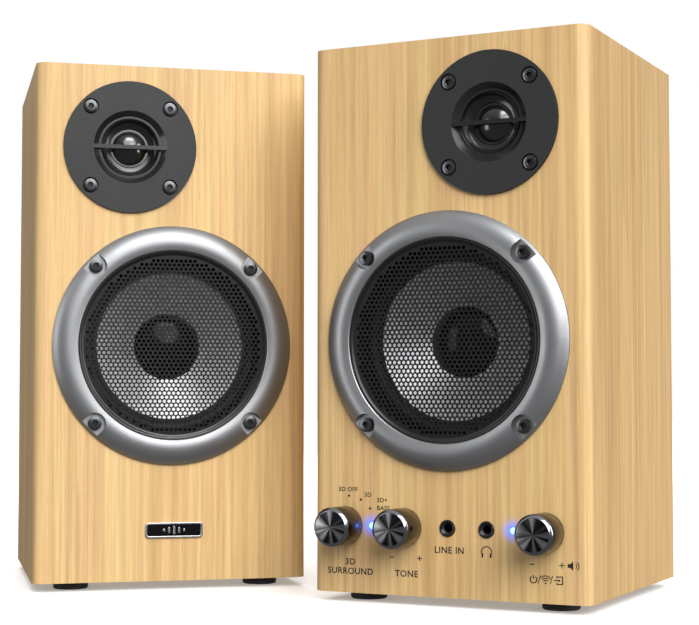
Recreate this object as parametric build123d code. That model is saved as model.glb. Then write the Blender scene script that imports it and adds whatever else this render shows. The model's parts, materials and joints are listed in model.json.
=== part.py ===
"""Pair of two-way desktop loudspeakers: an active one with the amplifier and controls, and a passive one.

Each loudspeaker is modelled upright in its own frame, then turned and placed beside the other.
In a loudspeaker's own frame x runs to the right as seen from the front, y runs from the face of the
front board into the cabinet, and z runs up from the underside of the cabinet. "Depth" is y, so what
stands out from the front board has a negative depth. All sizes are in millimetres.
"""
from build123d import *
import math
import os

# ---------------------------------------------------------------- cabinets
CAB_W = 142.0  # outside width
CAB_D = 139.0  # outside depth
CAB_H = 267.0  # outside height, without the feet
FRONT_T = 12.0  # front board
BOARD_T = 9.0  # side, top, bottom and rear boards
CORNER_R = 6.0  # rounding of the two upright front corners
REAR_INSET = 2.0  # rear board behind the rear edges of the sides
FOOT_R = 9.0
FOOT_H = 4.5
FOOT_CHAMFER = 0.6
FOOT_X = CAB_W / 2 - 21.0  # either side of the middle
FOOT_Y = 20.0  # in from the front and from the rear
CLEAR = 0.1  # radial gap of a fixed piece in its cut-out

# ---------------------------------------------------------------- where the two cabinets stand
TOE_IN = 20.3  # degrees that each one is turned towards the middle
STANCE_GAP = 11.42  # sideways, between the front corners that are nearest each other
STANCE_X = CAB_W * math.cos(math.radians(TOE_IN)) + STANCE_GAP  # from one front middle to the other
STANCE_Y = -59.3  # how far the active one stands in front

# ---------------------------------------------------------------- woofer
WOOFER_Z = 121.6
RING_BORE_R = 49.0  # silver trim ring, inside
RING_R = RING_BORE_R + 13.0
RING_RIM_H = 1.2  # height of its outer edge over the board
RING_INNER_H = 4.9  # height of its inner edge
RING_MID = (RING_BORE_R + 7.5, 4.95)  # radius and height of a point on its domed face
RING_EDGE = 0.35  # bright chamfer round the bore
FLANGE_R = RING_R - 2.0  # stamped flange of the basket, under the ring
FLANGE_T = 1.5
WOOFER_SCREW_R = RING_R - 5.0  # radius of the bolt circle
POCKET_R = 5.4  # pockets for the screw heads, open to the rim
POCKET_FLOOR_H = 2.4
GRILLE_H = 3.6  # flat face of the grille over the board
GRILLE_T = 0.8
GRILLE_FLAT_R = RING_BORE_R - 2.5
GRILLE_LIP_H = 4.5
GRILLE_SKIRT_T = 1.2
CAN_R = RING_BORE_R - 0.9  # cylindrical front part of the basket
BASKET_T = 1.2
CONE_DEPTH = 12.0  # front edge of the cone
ROLL_OUT_R = CAN_R - 2.2  # half roll of the surround
ROLL_IN_R = ROLL_OUT_R - 5.7
CONE_R = ROLL_IN_R - 0.3
CONE_T = 0.6
NECK_DEPTH = 27.0
ROLL_H = 3.2
ROLL_T = 0.5
COIL_R = 12.9  # outside of the voice coil former
FORMER_T = 0.3
WINDING_T = 0.35
COIL_GAP = 0.45  # between the coil and the iron on either side
CAP_R = 17.5
CAP_RISE = 5.6
CAP_T = 0.6
SPIDER_R = 31.0
SPIDER_DEPTH = 31.0
SPIDER_T = 0.5
SPIDER_WAVE = 0.9
BASKET_BACK = 40.0  # where the basket meets the motor
PLATE_R = 30.0  # front and back plates of the motor
PLATE_T = 4.0
MAGNET_R = 35.0
MAGNET_T = 12.0
WOOFER_TRAVEL = 3.0  # each way

# ---------------------------------------------------------------- tweeter
TWEETER_X = 22.8  # towards the outer side of each cabinet
TWEETER_DROP = 42.6  # below the top of the cabinet
FACE_R = 34.35  # flat faceplate
FACE_PROUD = 1.5
FACE_SUNK = 1.5
TWEETER_SCREW_R = FACE_R - 5.35
COUNTERBORE_R = 4.1
COUNTERBORE_D = 1.9
DOME_R = 8.9
DOME_RISE = 3.4
DOME_T = 0.3
DOME_RIM_R = DOME_R + 1.0
HORN_THROAT_R = DOME_RIM_R + 0.4
HORN_THROAT_D = 6.6  # below the plate's face
HORN_R = HORN_THROAT_R + 4.9
HORN_D = 5.0
BEVEL_IN_R = HORN_R + 1.1  # glossy bevel round the recess
BEVEL_R = BEVEL_IN_R + 2.7
BEVEL_D = 2.8
CUP_R = HORN_THROAT_R + 12.7  # moulded cup behind the plate
CUP_DEPTH = 8.0
BAR_H = 2.0  # bar across the recess
BAR_T = 2.1
TWEETER_COIL_L = 6.5
TWEETER_PLATE_R = CUP_R - 3.0
TWEETER_PLATE_T = 3.0
TWEETER_MAGNET_R = TWEETER_PLATE_R + 2.0
TWEETER_MAGNET_T = 8.0
TWEETER_GAP = 0.45

# ---------------------------------------------------------------- screws
SOCKET_AF = 2.8  # across the flats of the hexagon socket
SOCKET_D = 1.2
SCREW_HEAD_H = 1.8
WOOFER_HEAD_R = 3.5
TWEETER_HEAD_R = 3.4
SCREW_SHANK_R = 1.6
SCREW_LENGTH = 11.0
SCREW_FIT = 0.05
PLATE_HEAD_R = 2.9
PLATE_HEAD_H = 1.5
PLATE_SHANK_R = 1.4

# ---------------------------------------------------------------- front controls of the active one
CONTROL_Z = 32.7
SURROUND_X = -52.0
TONE_X = -21.0
VOLUME_X = 50.1
LINE_IN_X = 0.6
HEADPHONE_X = 20.3
LED_X = (-39.0, 33.6)
KNOB_R = 9.3
KNOB_PROUD = 19.0
KNOB_GAP = 2.0  # between the knob and the front board
KNOB_CHAMFER = 1.3
SHAFT_R = 3.0
SHAFT_END = 23.0  # depth of the shaft's inner end
SHAFT_FLAT = SHAFT_R - 0.9  # from the shaft's axis to its flat
SHAFT_FIT = 0.05
SHAFT_HOLE_R = SHAFT_R + 0.6  # through the front board
PUSH_TRAVEL = 1.5
CONTROL_BODY = 2 * SHAFT_R + 7.0  # square housings behind the board
BOARD_DEPTH = 28.0  # control board, behind the housings
BOARD_W = 118.0
BOARD_H = 24.0
PCB_T = 1.6
SPACER_X = 34.0
SPACER_R = 3.0
ROTOR_R = SHAFT_R + 1.6
ROTOR_FRONT = 16.0
ROTOR_L = 6.0
ROTOR_GAP = 0.3
JACK_R = 4.0
JACK_PROUD = 0.6
JACK_BORE_R = 1.8
JACK_BORE_L = 15.0
JACK_BODY = 11.0
LED_R = 1.5
LED_BODY_R = 1.9
LED_BODY_L = 6.0

# ---------------------------------------------------------------- rear of both cabinets
PORT_DROP = 62.0  # centre of the port below the top
PORT_BORE_R = 15.0
PORT_T = 2.0
PORT_L = 62.0
PORT_FLANGE_R = 22.0
PORT_FLARE = 2.0

# ---------------------------------------------------------------- rear of the active one
AMP_W = 100.0
AMP_H = 148.0
AMP_T = 2.0
AMP_Z = 18.0  # lower edge
AMP_LAP = 6.0  # how far the plate laps over its opening
AMP_CORNER = 4.0
RCA_Z = 140.0
RCA_X = (-30.0, -12.0, 22.0)
RCA_R = 4.15
RCA_L = 9.0
RCA_HOLE_R = 1.65
RCA_NUT_R = 6.0
RCA_NUT_T = 1.6
RCA_BODY_R = 5.5
INLET_X = 24.0
INLET_Z = 52.0
INLET_W = 23.6
INLET_H = 43.6
INLET_D = 16.0
INLET_LIP = 2.2
INLET_FLANGE_T = 2.0
SOCKET_W = 14.6
SOCKET_H = 8.4
SOCKET_DEPTH = 13.0
PIN_R = 1.2
PIN_X = 4.3
PIN_L = 9.0
ROCKER_W = 18.8
ROCKER_H = 12.4
ROCKER_GAP = 0.3
ROCKER_SWING = 10.0  # degrees either side of level
ROCKER_SLOT_H = 14.6
ROCKER_PIN_R = 1.2
ROCKER_PIN_L = 1.2
HALF_PITCH = 10.5  # switch above and socket below the middle of the inlet
TRAFO_W = 48.0
TRAFO_H = 40.0
TRAFO_D = 18.0
TRAFO_LEG = 8.0
TRAFO_X = -28.0
TRAFO_Y = 96.0
AMP_BOARD_W = 90.0
AMP_BOARD_H = 80.0
AMP_BOARD_GAP = 24.0  # in front of the plate
CAPACITOR_R = 8.0
CAPACITOR_L = 20.0
SINK_W = 30.0
SINK_D = 16.0
SINK_FINS = 6

# ---------------------------------------------------------------- rear of the passive one
CUP_W = 64.0
CUP_Z = 66.0
CUP_CORNER = 6.0
POCKET_W = 41.2
POCKET_H = 26.0
POCKET_D = 12.0
POCKET_WALL = 1.6
RIB_W = 4.0
LEVER_GAP = 0.4
LEVER_H = 17.0
LEVER_T = 3.0
LEVER_PIN_R = 1.2
LEVER_PIN_L = 1.1
LEVER_DEPTH = 5.0  # from the pocket's mouth to the lever's middle
WIRE_HOLE_R = 1.5
FILM_CAP_R = 6.5
FILM_CAP_L = 25.0
FILM_CAP_Z = 112.0

# ---------------------------------------------------------------- badge of the passive one
BADGE_W = 30.0
BADGE_H = 8.0
BADGE_T = 1.2
BADGE_X = 1.0
BADGE_Z = 26.0
BADGE_CORNER = 2.0

REAR_FACE = CAB_D - REAR_INSET  # outer face of the rear board
TWEETER_Z = CAB_H - TWEETER_DROP
PORT_Z = CAB_H - PORT_DROP


# ---------------------------------------------------------------- shapes used throughout
def turned(*outline, x=0.0, z=0.0):
    """A solid turned about a line along y; the outline is (radius, depth) points or ready-made edges."""
    if isinstance(outline[0], tuple):
        outline = [Polyline(*outline, close=True)]
    return Pos(x, 0, z) * revolve(make_face(Curve() + list(outline)), Axis.Y)


def rod(r, front, back, x=0.0, z=0.0):
    """A round bar along y."""
    return turned((0, front), (r, front), (r, back), (0, back), x=x, z=z)


def sleeve(r_in, r_out, front, back, x=0.0, z=0.0):
    """A round tube along y."""
    return turned((r_in, front), (r_out, front), (r_out, back), (r_in, back), x=x, z=z)


def cap_arc(r, base, rise, outward=True):
    """Arc of a spherical cap's section, between its apex on the axis and its edge at radius r."""
    ball_r = (r * r + rise * rise) / (2 * rise)
    half = math.asin(r / ball_r) / 2
    apex, edge = (0, base - rise), (r, base)
    middle = (ball_r * math.sin(half), base - rise + ball_r * (1 - math.cos(half)))
    return ThreePointArc(apex, middle, edge) if outward else ThreePointArc(edge, middle, apex)


def block(width, height, front, back, x=0.0, z=0.0, corner=0.0):
    """A plate or block facing forward, centred on (x, z), with rounded corners if asked."""
    body = Pos(x, (front + back) / 2, z) * Box(width, back - front, height)
    if corner:
        body = fillet(body.edges().filter_by(Axis.Y), corner)
    return body


def square_places(radius, x=0.0, z=0.0):
    """Centres of four screws at the corners of an upright square on a bolt circle."""
    half = radius / math.sqrt(2)
    return [(x + sx * half, z + sz * half) for sx in (-1, 1) for sz in (-1, 1)]


def screw(head_r, head_h, shank_r, length, front, x, z):
    """A socket-head screw whose head starts at the depth called front."""
    head = rod(head_r, front, front + head_h, x, z)
    shank = rod(shank_r, front + head_h, front + head_h + length, x, z)
    socket = extrude(RegularPolygon(SOCKET_AF / 2, 6, major_radius=False), SOCKET_D)
    return head + shank - Pos(x, front + SOCKET_D, z) * Rot(90, 0, 0) * socket


def group(solids):
    """Separate solids that share one node."""
    return Compound([solid for part in solids for solid in part.solids()])


# ---------------------------------------------------------------- cabinet
def front_board(tweeter_x, control_holes):
    """Full-width front board with rounded upright corners."""
    body = Pos(0, FRONT_T / 2, CAB_H / 2) * Box(CAB_W, FRONT_T, CAB_H)
    body = fillet(body.edges().filter_by(Axis.Z).group_by(Axis.Y)[0], CORNER_R)
    body -= rod(CAN_R + CLEAR * 4, 0, FRONT_T, 0, WOOFER_Z)
    body -= rod(CUP_R + CLEAR * 4, 0, FRONT_T, tweeter_x, TWEETER_Z)
    body -= rod(FACE_R + CLEAR, 0, FACE_SUNK, tweeter_x, TWEETER_Z)
    pilot_r = SCREW_SHANK_R + SCREW_FIT
    for x, z in square_places(WOOFER_SCREW_R, 0, WOOFER_Z):
        body -= rod(pilot_r, 0, FRONT_T, x, z)
    for x, z in square_places(TWEETER_SCREW_R, tweeter_x, TWEETER_Z):
        body -= rod(pilot_r, 0, FRONT_T, x, z)
    for x, r in control_holes:
        body -= rod(r, 0, FRONT_T, x, CONTROL_Z)
    return body


def side_panels():
    """Left and right boards, butted against the back of the front board."""
    boards = [
        Pos(x, (FRONT_T + CAB_D) / 2, CAB_H / 2) * Box(BOARD_T, CAB_D - FRONT_T, CAB_H)
        for x in (BOARD_T / 2 - CAB_W / 2, CAB_W / 2 - BOARD_T / 2)
    ]
    return group(boards)


def end_panels():
    """Top and bottom boards, between the sides and behind the front board."""
    boards = [
        Pos(0, (FRONT_T + CAB_D) / 2, z) * Box(CAB_W - 2 * BOARD_T, CAB_D - FRONT_T, BOARD_T)
        for z in (BOARD_T / 2, CAB_H - BOARD_T / 2)
    ]
    return group(boards)


def rear_panel(openings):
    """Rear board, let in between the sides and the end boards, less its cut-outs."""
    board = block(CAB_W - 2 * BOARD_T, CAB_H - 2 * BOARD_T, REAR_FACE - BOARD_T, REAR_FACE, 0, CAB_H / 2)
    board -= rod(PORT_BORE_R + PORT_T + CLEAR, REAR_FACE - BOARD_T, REAR_FACE, 0, PORT_Z)
    for opening in openings:
        board -= opening
    return board


def feet():
    """Four round rubber feet under the bottom board."""
    foot = Pos(0, 0, -FOOT_H / 2) * Cylinder(FOOT_R, FOOT_H)
    foot = chamfer(foot.edges().group_by(Axis.Z)[0], FOOT_CHAMFER)
    places = [(x, y) for x in (-FOOT_X, FOOT_X) for y in (FOOT_Y, CAB_D - FOOT_Y)]
    return group([Pos(x, y, 0) * foot for x, y in places])


def port_tube():
    """Moulded reflex port with a flared mouth, set in the rear board."""
    r_in, r_out = PORT_BORE_R, PORT_BORE_R + PORT_T
    return turned(
        (r_in, REAR_FACE + REAR_INSET - PORT_L),
        (r_out, REAR_FACE + REAR_INSET - PORT_L),
        (r_out, REAR_FACE),
        (PORT_FLANGE_R, REAR_FACE),
        (PORT_FLANGE_R, REAR_FACE + REAR_INSET),
        (r_in + PORT_FLARE, REAR_FACE + REAR_INSET),
        (r_in, REAR_FACE + REAR_INSET - PORT_FLARE),
        z=PORT_Z,
    )


# ---------------------------------------------------------------- woofer
def woofer_trim_ring():
    """Silver ring with a domed face, a rebate behind for the basket's flange, and four screw pockets."""
    bore_top = (RING_BORE_R, RING_EDGE - RING_INNER_H)
    face_start = (RING_BORE_R + RING_EDGE, -RING_INNER_H)
    rim_top = (RING_R, -RING_RIM_H)
    body = turned(
        Polyline((RING_BORE_R, -FLANGE_T), bore_top, face_start),
        ThreePointArc(face_start, (RING_MID[0], -RING_MID[1]), rim_top),
        Polyline(
            rim_top,
            (RING_R, 0),
            (FLANGE_R + CLEAR, 0),
            (FLANGE_R + CLEAR, -FLANGE_T),
            (RING_BORE_R, -FLANGE_T),
        ),
        z=WOOFER_Z,
    )
    outward = RING_R - WOOFER_SCREW_R
    slot = rod(POCKET_R, -RING_R, -POCKET_FLOOR_H)
    slot += block(2 * outward, 2 * POCKET_R, -RING_R, -POCKET_FLOOR_H, x=outward)
    for quarter in range(4):
        body -= Pos(0, 0, WOOFER_Z) * Rot(0, 45 + 90 * quarter, 0) * Pos(WOOFER_SCREW_R, 0, 0) * slot
    for x, z in square_places(WOOFER_SCREW_R, 0, WOOFER_Z):
        body -= rod(SCREW_SHANK_R + SCREW_FIT, -RING_R, 0, x, z)
    return body


def woofer_grille():
    """Pressed metal guard in the ring's bore, standing on the basket's flange."""
    r = RING_BORE_R - CLEAR
    inner_r = r - GRILLE_SKIRT_T
    return turned(
        (0, -GRILLE_H),
        (GRILLE_FLAT_R, -GRILLE_H),
        (r - GRILLE_T, -GRILLE_LIP_H),
        (r, -GRILLE_LIP_H),
        (r, -FLANGE_T),
        (inner_r, -FLANGE_T),
        (inner_r, GRILLE_T - GRILLE_H),
        (0, GRILLE_T - GRILLE_H),
        z=WOOFER_Z,
    )


def woofer_basket():
    """Stamped steel basket: flange, can, ledges for the surround and spider, four windows, back."""
    ledge = CONE_DEPTH
    spider_wall = SPIDER_R - 2.0
    t = BASKET_T
    body = turned(
        (CAN_R - t, -FLANGE_T),
        (FLANGE_R, -FLANGE_T),
        (FLANGE_R, 0),
        (CAN_R, 0),
        (CAN_R, ledge + t),
        (SPIDER_R + t, SPIDER_DEPTH + t),
        (spider_wall + t, SPIDER_DEPTH + t),
        (spider_wall + t, BASKET_BACK + t),
        (COIL_R + 2.0, BASKET_BACK + t),
        (COIL_R + 2.0, BASKET_BACK),
        (spider_wall, BASKET_BACK),
        (spider_wall, SPIDER_DEPTH),
        (SPIDER_R, SPIDER_DEPTH),
        (ROLL_OUT_R - 1.0, ledge + t),
        (ROLL_OUT_R - 1.0, ledge),
        (CAN_R - t, ledge),
        z=WOOFER_Z,
    )
    window_front = ledge + 3 * t
    window_back = SPIDER_DEPTH - 2 * t
    window = block(CAN_R, CAN_R * 0.75, window_front, window_back, x=CAN_R * 0.85)
    for quarter in range(4):
        body -= Pos(0, 0, WOOFER_Z) * Rot(0, 90 * quarter, 0) * window
    for x, z in square_places(WOOFER_SCREW_R, 0, WOOFER_Z):
        body -= rod(SCREW_SHANK_R + SCREW_FIT, -FLANGE_T, 0, x, z)
    return body


def woofer_surround():
    """Rubber half roll between the cone's edge and the basket's front ledge."""
    back = CONE_DEPTH
    middle = (ROLL_IN_R + ROLL_OUT_R) / 2
    outer_rim = CAN_R - BASKET_T - CLEAR
    inner_rim = CONE_R - 1.5
    front = back - ROLL_T
    return turned(
        Polyline((inner_rim, back), (inner_rim, front), (ROLL_IN_R, front)),
        ThreePointArc((ROLL_IN_R, front), (middle, front - ROLL_H), (ROLL_OUT_R, front)),
        Polyline((ROLL_OUT_R, front), (outer_rim, front), (outer_rim, back), (ROLL_OUT_R - ROLL_T, back)),
        ThreePointArc(
            (ROLL_OUT_R - ROLL_T, back),
            (middle, front - ROLL_H + ROLL_T),
            (ROLL_IN_R + ROLL_T, back),
        ),
        Polyline((ROLL_IN_R + ROLL_T, back), (inner_rim, back)),
        z=WOOFER_Z,
    )


def cone_depth_at(r):
    """Depth of the cone's front face at a radius."""
    return CONE_DEPTH + (CONE_R - r) / (CONE_R - COIL_R) * (NECK_DEPTH - CONE_DEPTH)


def woofer_cone():
    """Silver-coated cone, from the surround back to the voice coil."""
    return turned(
        (CONE_R, CONE_DEPTH),
        (CONE_R, CONE_DEPTH + CONE_T),
        (COIL_R, NECK_DEPTH + CONE_T),
        (COIL_R, NECK_DEPTH),
        z=WOOFER_Z,
    )


def woofer_dust_cap():
    """Convex glossy cap over the voice coil."""
    base = cone_depth_at(CAP_R) - CLEAR
    top = base - CAP_RISE
    return turned(
        Polyline((0, top + CAP_T), (0, top)),
        cap_arc(CAP_R, base, CAP_RISE),
        Polyline((CAP_R, base), (CAP_R - CAP_T, base)),
        cap_arc(CAP_R - CAP_T, base, CAP_RISE - CAP_T, outward=False),
        z=WOOFER_Z,
    )


def woofer_voice_coil():
    """Former with its winding, hanging in the motor's gap."""
    winding_front = BASKET_BACK + BASKET_T
    winding_back = winding_front + PLATE_T + 1.0
    return turned(
        (COIL_R - FORMER_T, NECK_DEPTH - 1.0),
        (COIL_R, NECK_DEPTH - 1.0),
        (COIL_R, winding_front),
        (COIL_R + WINDING_T, winding_front),
        (COIL_R + WINDING_T, winding_back),
        (COIL_R - FORMER_T, winding_back),
        z=WOOFER_Z,
    )


def woofer_spider():
    """Corrugated cloth ring that centres the voice coil."""
    r_in = COIL_R + CLEAR
    flat = 2.5
    waves = 4
    start, stop = r_in + flat, SPIDER_R - flat
    steps = 2 * waves
    ridge = [
        (start + (stop - start) * i / steps, SPIDER_DEPTH - SPIDER_T - SPIDER_WAVE * (i % 2))
        for i in range(steps + 1)
    ]
    front = [(r_in, SPIDER_DEPTH - SPIDER_T)] + ridge + [(SPIDER_R - CLEAR, SPIDER_DEPTH - SPIDER_T)]
    back = [(r, depth + SPIDER_T) for r, depth in reversed(front)]
    return turned(*front, *back, z=WOOFER_Z)


def woofer_motor():
    """Front plate, ferrite magnet, and back plate with its pole."""
    front = BASKET_BACK + BASKET_T
    gap_r = COIL_R + WINDING_T + COIL_GAP
    pole_r = COIL_R - FORMER_T - COIL_GAP
    magnet_front = front + PLATE_T
    magnet_back = magnet_front + MAGNET_T
    front_plate = sleeve(gap_r, PLATE_R, front, magnet_front, z=WOOFER_Z)
    magnet = sleeve(gap_r + 3.0, MAGNET_R, magnet_front, magnet_back, z=WOOFER_Z)
    yoke = turned(
        (0, front),
        (pole_r, front),
        (pole_r, magnet_back),
        (PLATE_R, magnet_back),
        (PLATE_R, magnet_back + PLATE_T),
        (0, magnet_back + PLATE_T),
        z=WOOFER_Z,
    )
    return group([front_plate, magnet, yoke])


def woofer_screws():
    """Four screws through the ring and flange into the front board."""
    front = -POCKET_FLOOR_H - SCREW_HEAD_H
    return group([
        screw(WOOFER_HEAD_R, SCREW_HEAD_H, SCREW_SHANK_R, SCREW_LENGTH, front, x, z)
        for x, z in square_places(WOOFER_SCREW_R, 0, WOOFER_Z)
    ])


# ---------------------------------------------------------------- tweeter
def tweeter_faceplate(tweeter_x):
    """Moulded plate with its bevelled recess, short horn, bar and four counterbored holes."""
    face = -FACE_PROUD
    step = face + BEVEL_D
    body = turned(
        (BEVEL_R, face),
        (FACE_R, face),
        (FACE_R, FACE_SUNK),
        (CUP_R, FACE_SUNK),
        (CUP_R, CUP_DEPTH),
        (HORN_THROAT_R, CUP_DEPTH),
        (HORN_THROAT_R, face + HORN_THROAT_D),
        (HORN_R, face + HORN_D),
        (HORN_R, step),
        (BEVEL_IN_R, step),
        x=tweeter_x,
        z=TWEETER_Z,
    )
    body += block(2 * BEVEL_IN_R, BAR_H, face, face + BAR_T, tweeter_x, TWEETER_Z)
    end = make_face(Polyline((BEVEL_R, face), (BEVEL_IN_R, step), (BEVEL_IN_R, face), close=True))
    wedge = extrude(end, BAR_H / 2, both=True)
    body += Pos(tweeter_x, 0, TWEETER_Z) * wedge
    body += Pos(tweeter_x, 0, TWEETER_Z) * mirror(wedge, Plane.YZ)
    for x, z in square_places(TWEETER_SCREW_R, tweeter_x, TWEETER_Z):
        body -= rod(COUNTERBORE_R, face, face + COUNTERBORE_D, x, z)
        body -= rod(SCREW_SHANK_R + SCREW_FIT, face, FACE_SUNK, x, z)
    return body


def tweeter_dome(tweeter_x):
    """Dome with its thin rim and the voice coil former behind it."""
    rim = HORN_THROAT_D - FACE_PROUD
    top = rim - DOME_RISE
    back = rim + TWEETER_COIL_L
    inner_r = DOME_R - DOME_T
    return turned(
        Polyline((0, top + DOME_T), (0, top)),
        cap_arc(DOME_R, rim, DOME_RISE),
        Polyline((DOME_R, rim), (DOME_RIM_R, rim), (DOME_RIM_R, rim + DOME_T), (DOME_R, rim + DOME_T)),
        Polyline((DOME_R, rim + DOME_T), (DOME_R, back), (inner_r, back), (inner_r, rim + DOME_T)),
        cap_arc(inner_r, rim + DOME_T, DOME_RISE, outward=False),
        x=tweeter_x,
        z=TWEETER_Z,
    )


def tweeter_motor(tweeter_x):
    """Front plate, ring magnet, and back plate with its pole."""
    front = CUP_DEPTH
    magnet_front = front + TWEETER_PLATE_T
    magnet_back = magnet_front + TWEETER_MAGNET_T
    gap_r = DOME_R + TWEETER_GAP
    pole_r = DOME_R - DOME_T - TWEETER_GAP
    place = {"x": tweeter_x, "z": TWEETER_Z}
    front_plate = sleeve(gap_r, TWEETER_PLATE_R, front, magnet_front, **place)
    magnet = sleeve(gap_r + 3.0, TWEETER_MAGNET_R, magnet_front, magnet_back, **place)
    yoke = turned(
        (0, front),
        (pole_r, front),
        (pole_r, magnet_back),
        (TWEETER_PLATE_R, magnet_back),
        (TWEETER_PLATE_R, magnet_back + TWEETER_PLATE_T),
        (0, magnet_back + TWEETER_PLATE_T),
        **place,
    )
    return group([front_plate, magnet, yoke])


def tweeter_screws(tweeter_x):
    """Four screws in the plate's counterbores."""
    front = COUNTERBORE_D - FACE_PROUD - SCREW_HEAD_H
    return group([
        screw(TWEETER_HEAD_R, SCREW_HEAD_H, SCREW_SHANK_R, SCREW_LENGTH - FACE_SUNK, front, x, z)
        for x, z in square_places(TWEETER_SCREW_R, tweeter_x, TWEETER_Z)
    ])


# ---------------------------------------------------------------- front controls
def knob(x, flat=False):
    """Machined knob with its shaft, turned in one piece; the flat is for a pushed rotor."""
    front = -KNOB_PROUD
    back = -KNOB_GAP
    body = turned(
        (0, front),
        (KNOB_R - KNOB_CHAMFER, front),
        (KNOB_R, front + KNOB_CHAMFER),
        (KNOB_R, back),
        (SHAFT_R, back),
        (SHAFT_R, SHAFT_END),
        (0, SHAFT_END),
    )
    if flat:
        cut = SHAFT_R - SHAFT_FLAT
        body -= block(cut, 2 * SHAFT_R, FRONT_T, SHAFT_END, x=SHAFT_FLAT + cut / 2)
    return Pos(x, 0, CONTROL_Z) * body


def turning_control(x):
    """Housing of a rotary switch or potentiometer, with a blind bore for the knob's shaft."""
    body = block(CONTROL_BODY, CONTROL_BODY, FRONT_T, BOARD_DEPTH, x, CONTROL_Z)
    return body - rod(SHAFT_R + SHAFT_FIT, FRONT_T, SHAFT_END + 1.0, x, CONTROL_Z)


def volume_encoder():
    """Housing of the push-and-turn encoder, closed round its rotor."""
    body = block(CONTROL_BODY, CONTROL_BODY, FRONT_T, BOARD_DEPTH, VOLUME_X, CONTROL_Z)
    rotor_back = ROTOR_FRONT + ROTOR_L
    body -= rod(SHAFT_R + ROTOR_GAP, FRONT_T, SHAFT_END + PUSH_TRAVEL + ROTOR_GAP, VOLUME_X, CONTROL_Z)
    body -= rod(ROTOR_R + ROTOR_GAP, ROTOR_FRONT - ROTOR_GAP, rotor_back + ROTOR_GAP, VOLUME_X, CONTROL_Z)
    return body


def volume_rotor():
    """Contact rotor that the flatted shaft turns and slides through."""
    bore_r = SHAFT_R + SHAFT_FIT
    flat_at = SHAFT_FLAT + SHAFT_FIT
    bore = rod(bore_r, ROTOR_FRONT, ROTOR_FRONT + ROTOR_L)
    cut = bore_r - flat_at
    bore -= block(cut, 2 * bore_r, ROTOR_FRONT, ROTOR_FRONT + ROTOR_L, x=flat_at + cut / 2)
    return Pos(VOLUME_X, 0, CONTROL_Z) * (rod(ROTOR_R, ROTOR_FRONT, ROTOR_FRONT + ROTOR_L) - bore)


def control_board():
    """Circuit board behind the controls, on two spacers from the front board."""
    board = block(BOARD_W, BOARD_H, BOARD_DEPTH, BOARD_DEPTH + PCB_T, 0, CONTROL_Z)
    for x in (-SPACER_X, SPACER_X):
        board += rod(SPACER_R, FRONT_T, BOARD_DEPTH, x, CONTROL_Z + BOARD_H / 2 - SPACER_R)
    return board


def front_jacks():
    """Two 3.5 mm sockets: line input and headphones."""
    sockets = []
    for x in (LINE_IN_X, HEADPHONE_X):
        socket = rod(JACK_R, -JACK_PROUD, FRONT_T, x, CONTROL_Z)
        socket += block(JACK_BODY, JACK_BODY, FRONT_T, BOARD_DEPTH, x, CONTROL_Z)
        sockets.append(socket - rod(JACK_BORE_R, -JACK_PROUD, JACK_BORE_L - JACK_PROUD, x, CONTROL_Z))
    return group(sockets)


def indicator_leds():
    """Two lamps with light pipes that end flush with the front board."""
    return group([
        turned(
            (0, 0),
            (LED_R, 0),
            (LED_R, BOARD_DEPTH - LED_BODY_L),
            (LED_BODY_R, BOARD_DEPTH - LED_BODY_L),
            (LED_BODY_R, BOARD_DEPTH),
            (0, BOARD_DEPTH),
            x=x,
            z=CONTROL_Z,
        )
        for x in LED_X
    ])


def control_holes():
    """(x, radius) of every hole in the control row."""
    shafts = [(x, SHAFT_HOLE_R) for x in (SURROUND_X, TONE_X, VOLUME_X)]
    jacks = [(x, JACK_R + CLEAR) for x in (LINE_IN_X, HEADPHONE_X)]
    return shafts + jacks + [(x, LED_R + CLEAR) for x in LED_X]


# ---------------------------------------------------------------- rear of the active one
def plate_screw_places():
    """Six screws along the upright edges of the amplifier plate."""
    inset = AMP_LAP / 2
    rows = [AMP_Z + inset + (AMP_H - 2 * inset) * i / 2 for i in range(3)]
    return [(sx * (AMP_W / 2 - inset), z) for sx in (-1, 1) for z in rows]


def amplifier_opening():
    """What the rear board loses for the amplifier."""
    middle = AMP_Z + AMP_H / 2
    cut = block(AMP_W - 2 * AMP_LAP, AMP_H - 2 * AMP_LAP, REAR_FACE - BOARD_T, REAR_FACE, 0, middle)
    for x, z in plate_screw_places():
        cut += rod(PLATE_SHANK_R + SCREW_FIT, REAR_FACE - BOARD_T, REAR_FACE, x, z)
    return cut


def amplifier_plate():
    """Aluminium plate that carries the sockets, the mains inlet and the switch."""
    plate = block(AMP_W, AMP_H, REAR_FACE, REAR_FACE + AMP_T, 0, AMP_Z + AMP_H / 2, AMP_CORNER)
    for x in RCA_X:
        plate -= rod(RCA_BODY_R + CLEAR, REAR_FACE, REAR_FACE + AMP_T, x, RCA_Z)
    gap = 2 * CLEAR
    plate -= block(INLET_W + gap, INLET_H + gap, REAR_FACE, REAR_FACE + AMP_T, INLET_X, INLET_Z)
    for x, z in plate_screw_places():
        plate -= rod(PLATE_SHANK_R + SCREW_FIT, REAR_FACE, REAR_FACE + AMP_T, x, z)
    return plate


def amplifier_plate_screws():
    """Six pan-head screws, driven from behind the cabinet."""
    face = REAR_FACE + AMP_T
    screws = []
    for x, z in plate_screw_places():
        head = rod(PLATE_HEAD_R, face, face + PLATE_HEAD_H, x, z)
        shank = rod(PLATE_SHANK_R, face - AMP_T - BOARD_T, face, x, z)
        socket = extrude(RegularPolygon(SOCKET_AF / 2, 6, major_radius=False), SOCKET_D)
        screws.append(head + shank - Pos(x, face + PLATE_HEAD_H, z) * Rot(90, 0, 0) * socket)
    return group(screws)


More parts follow.
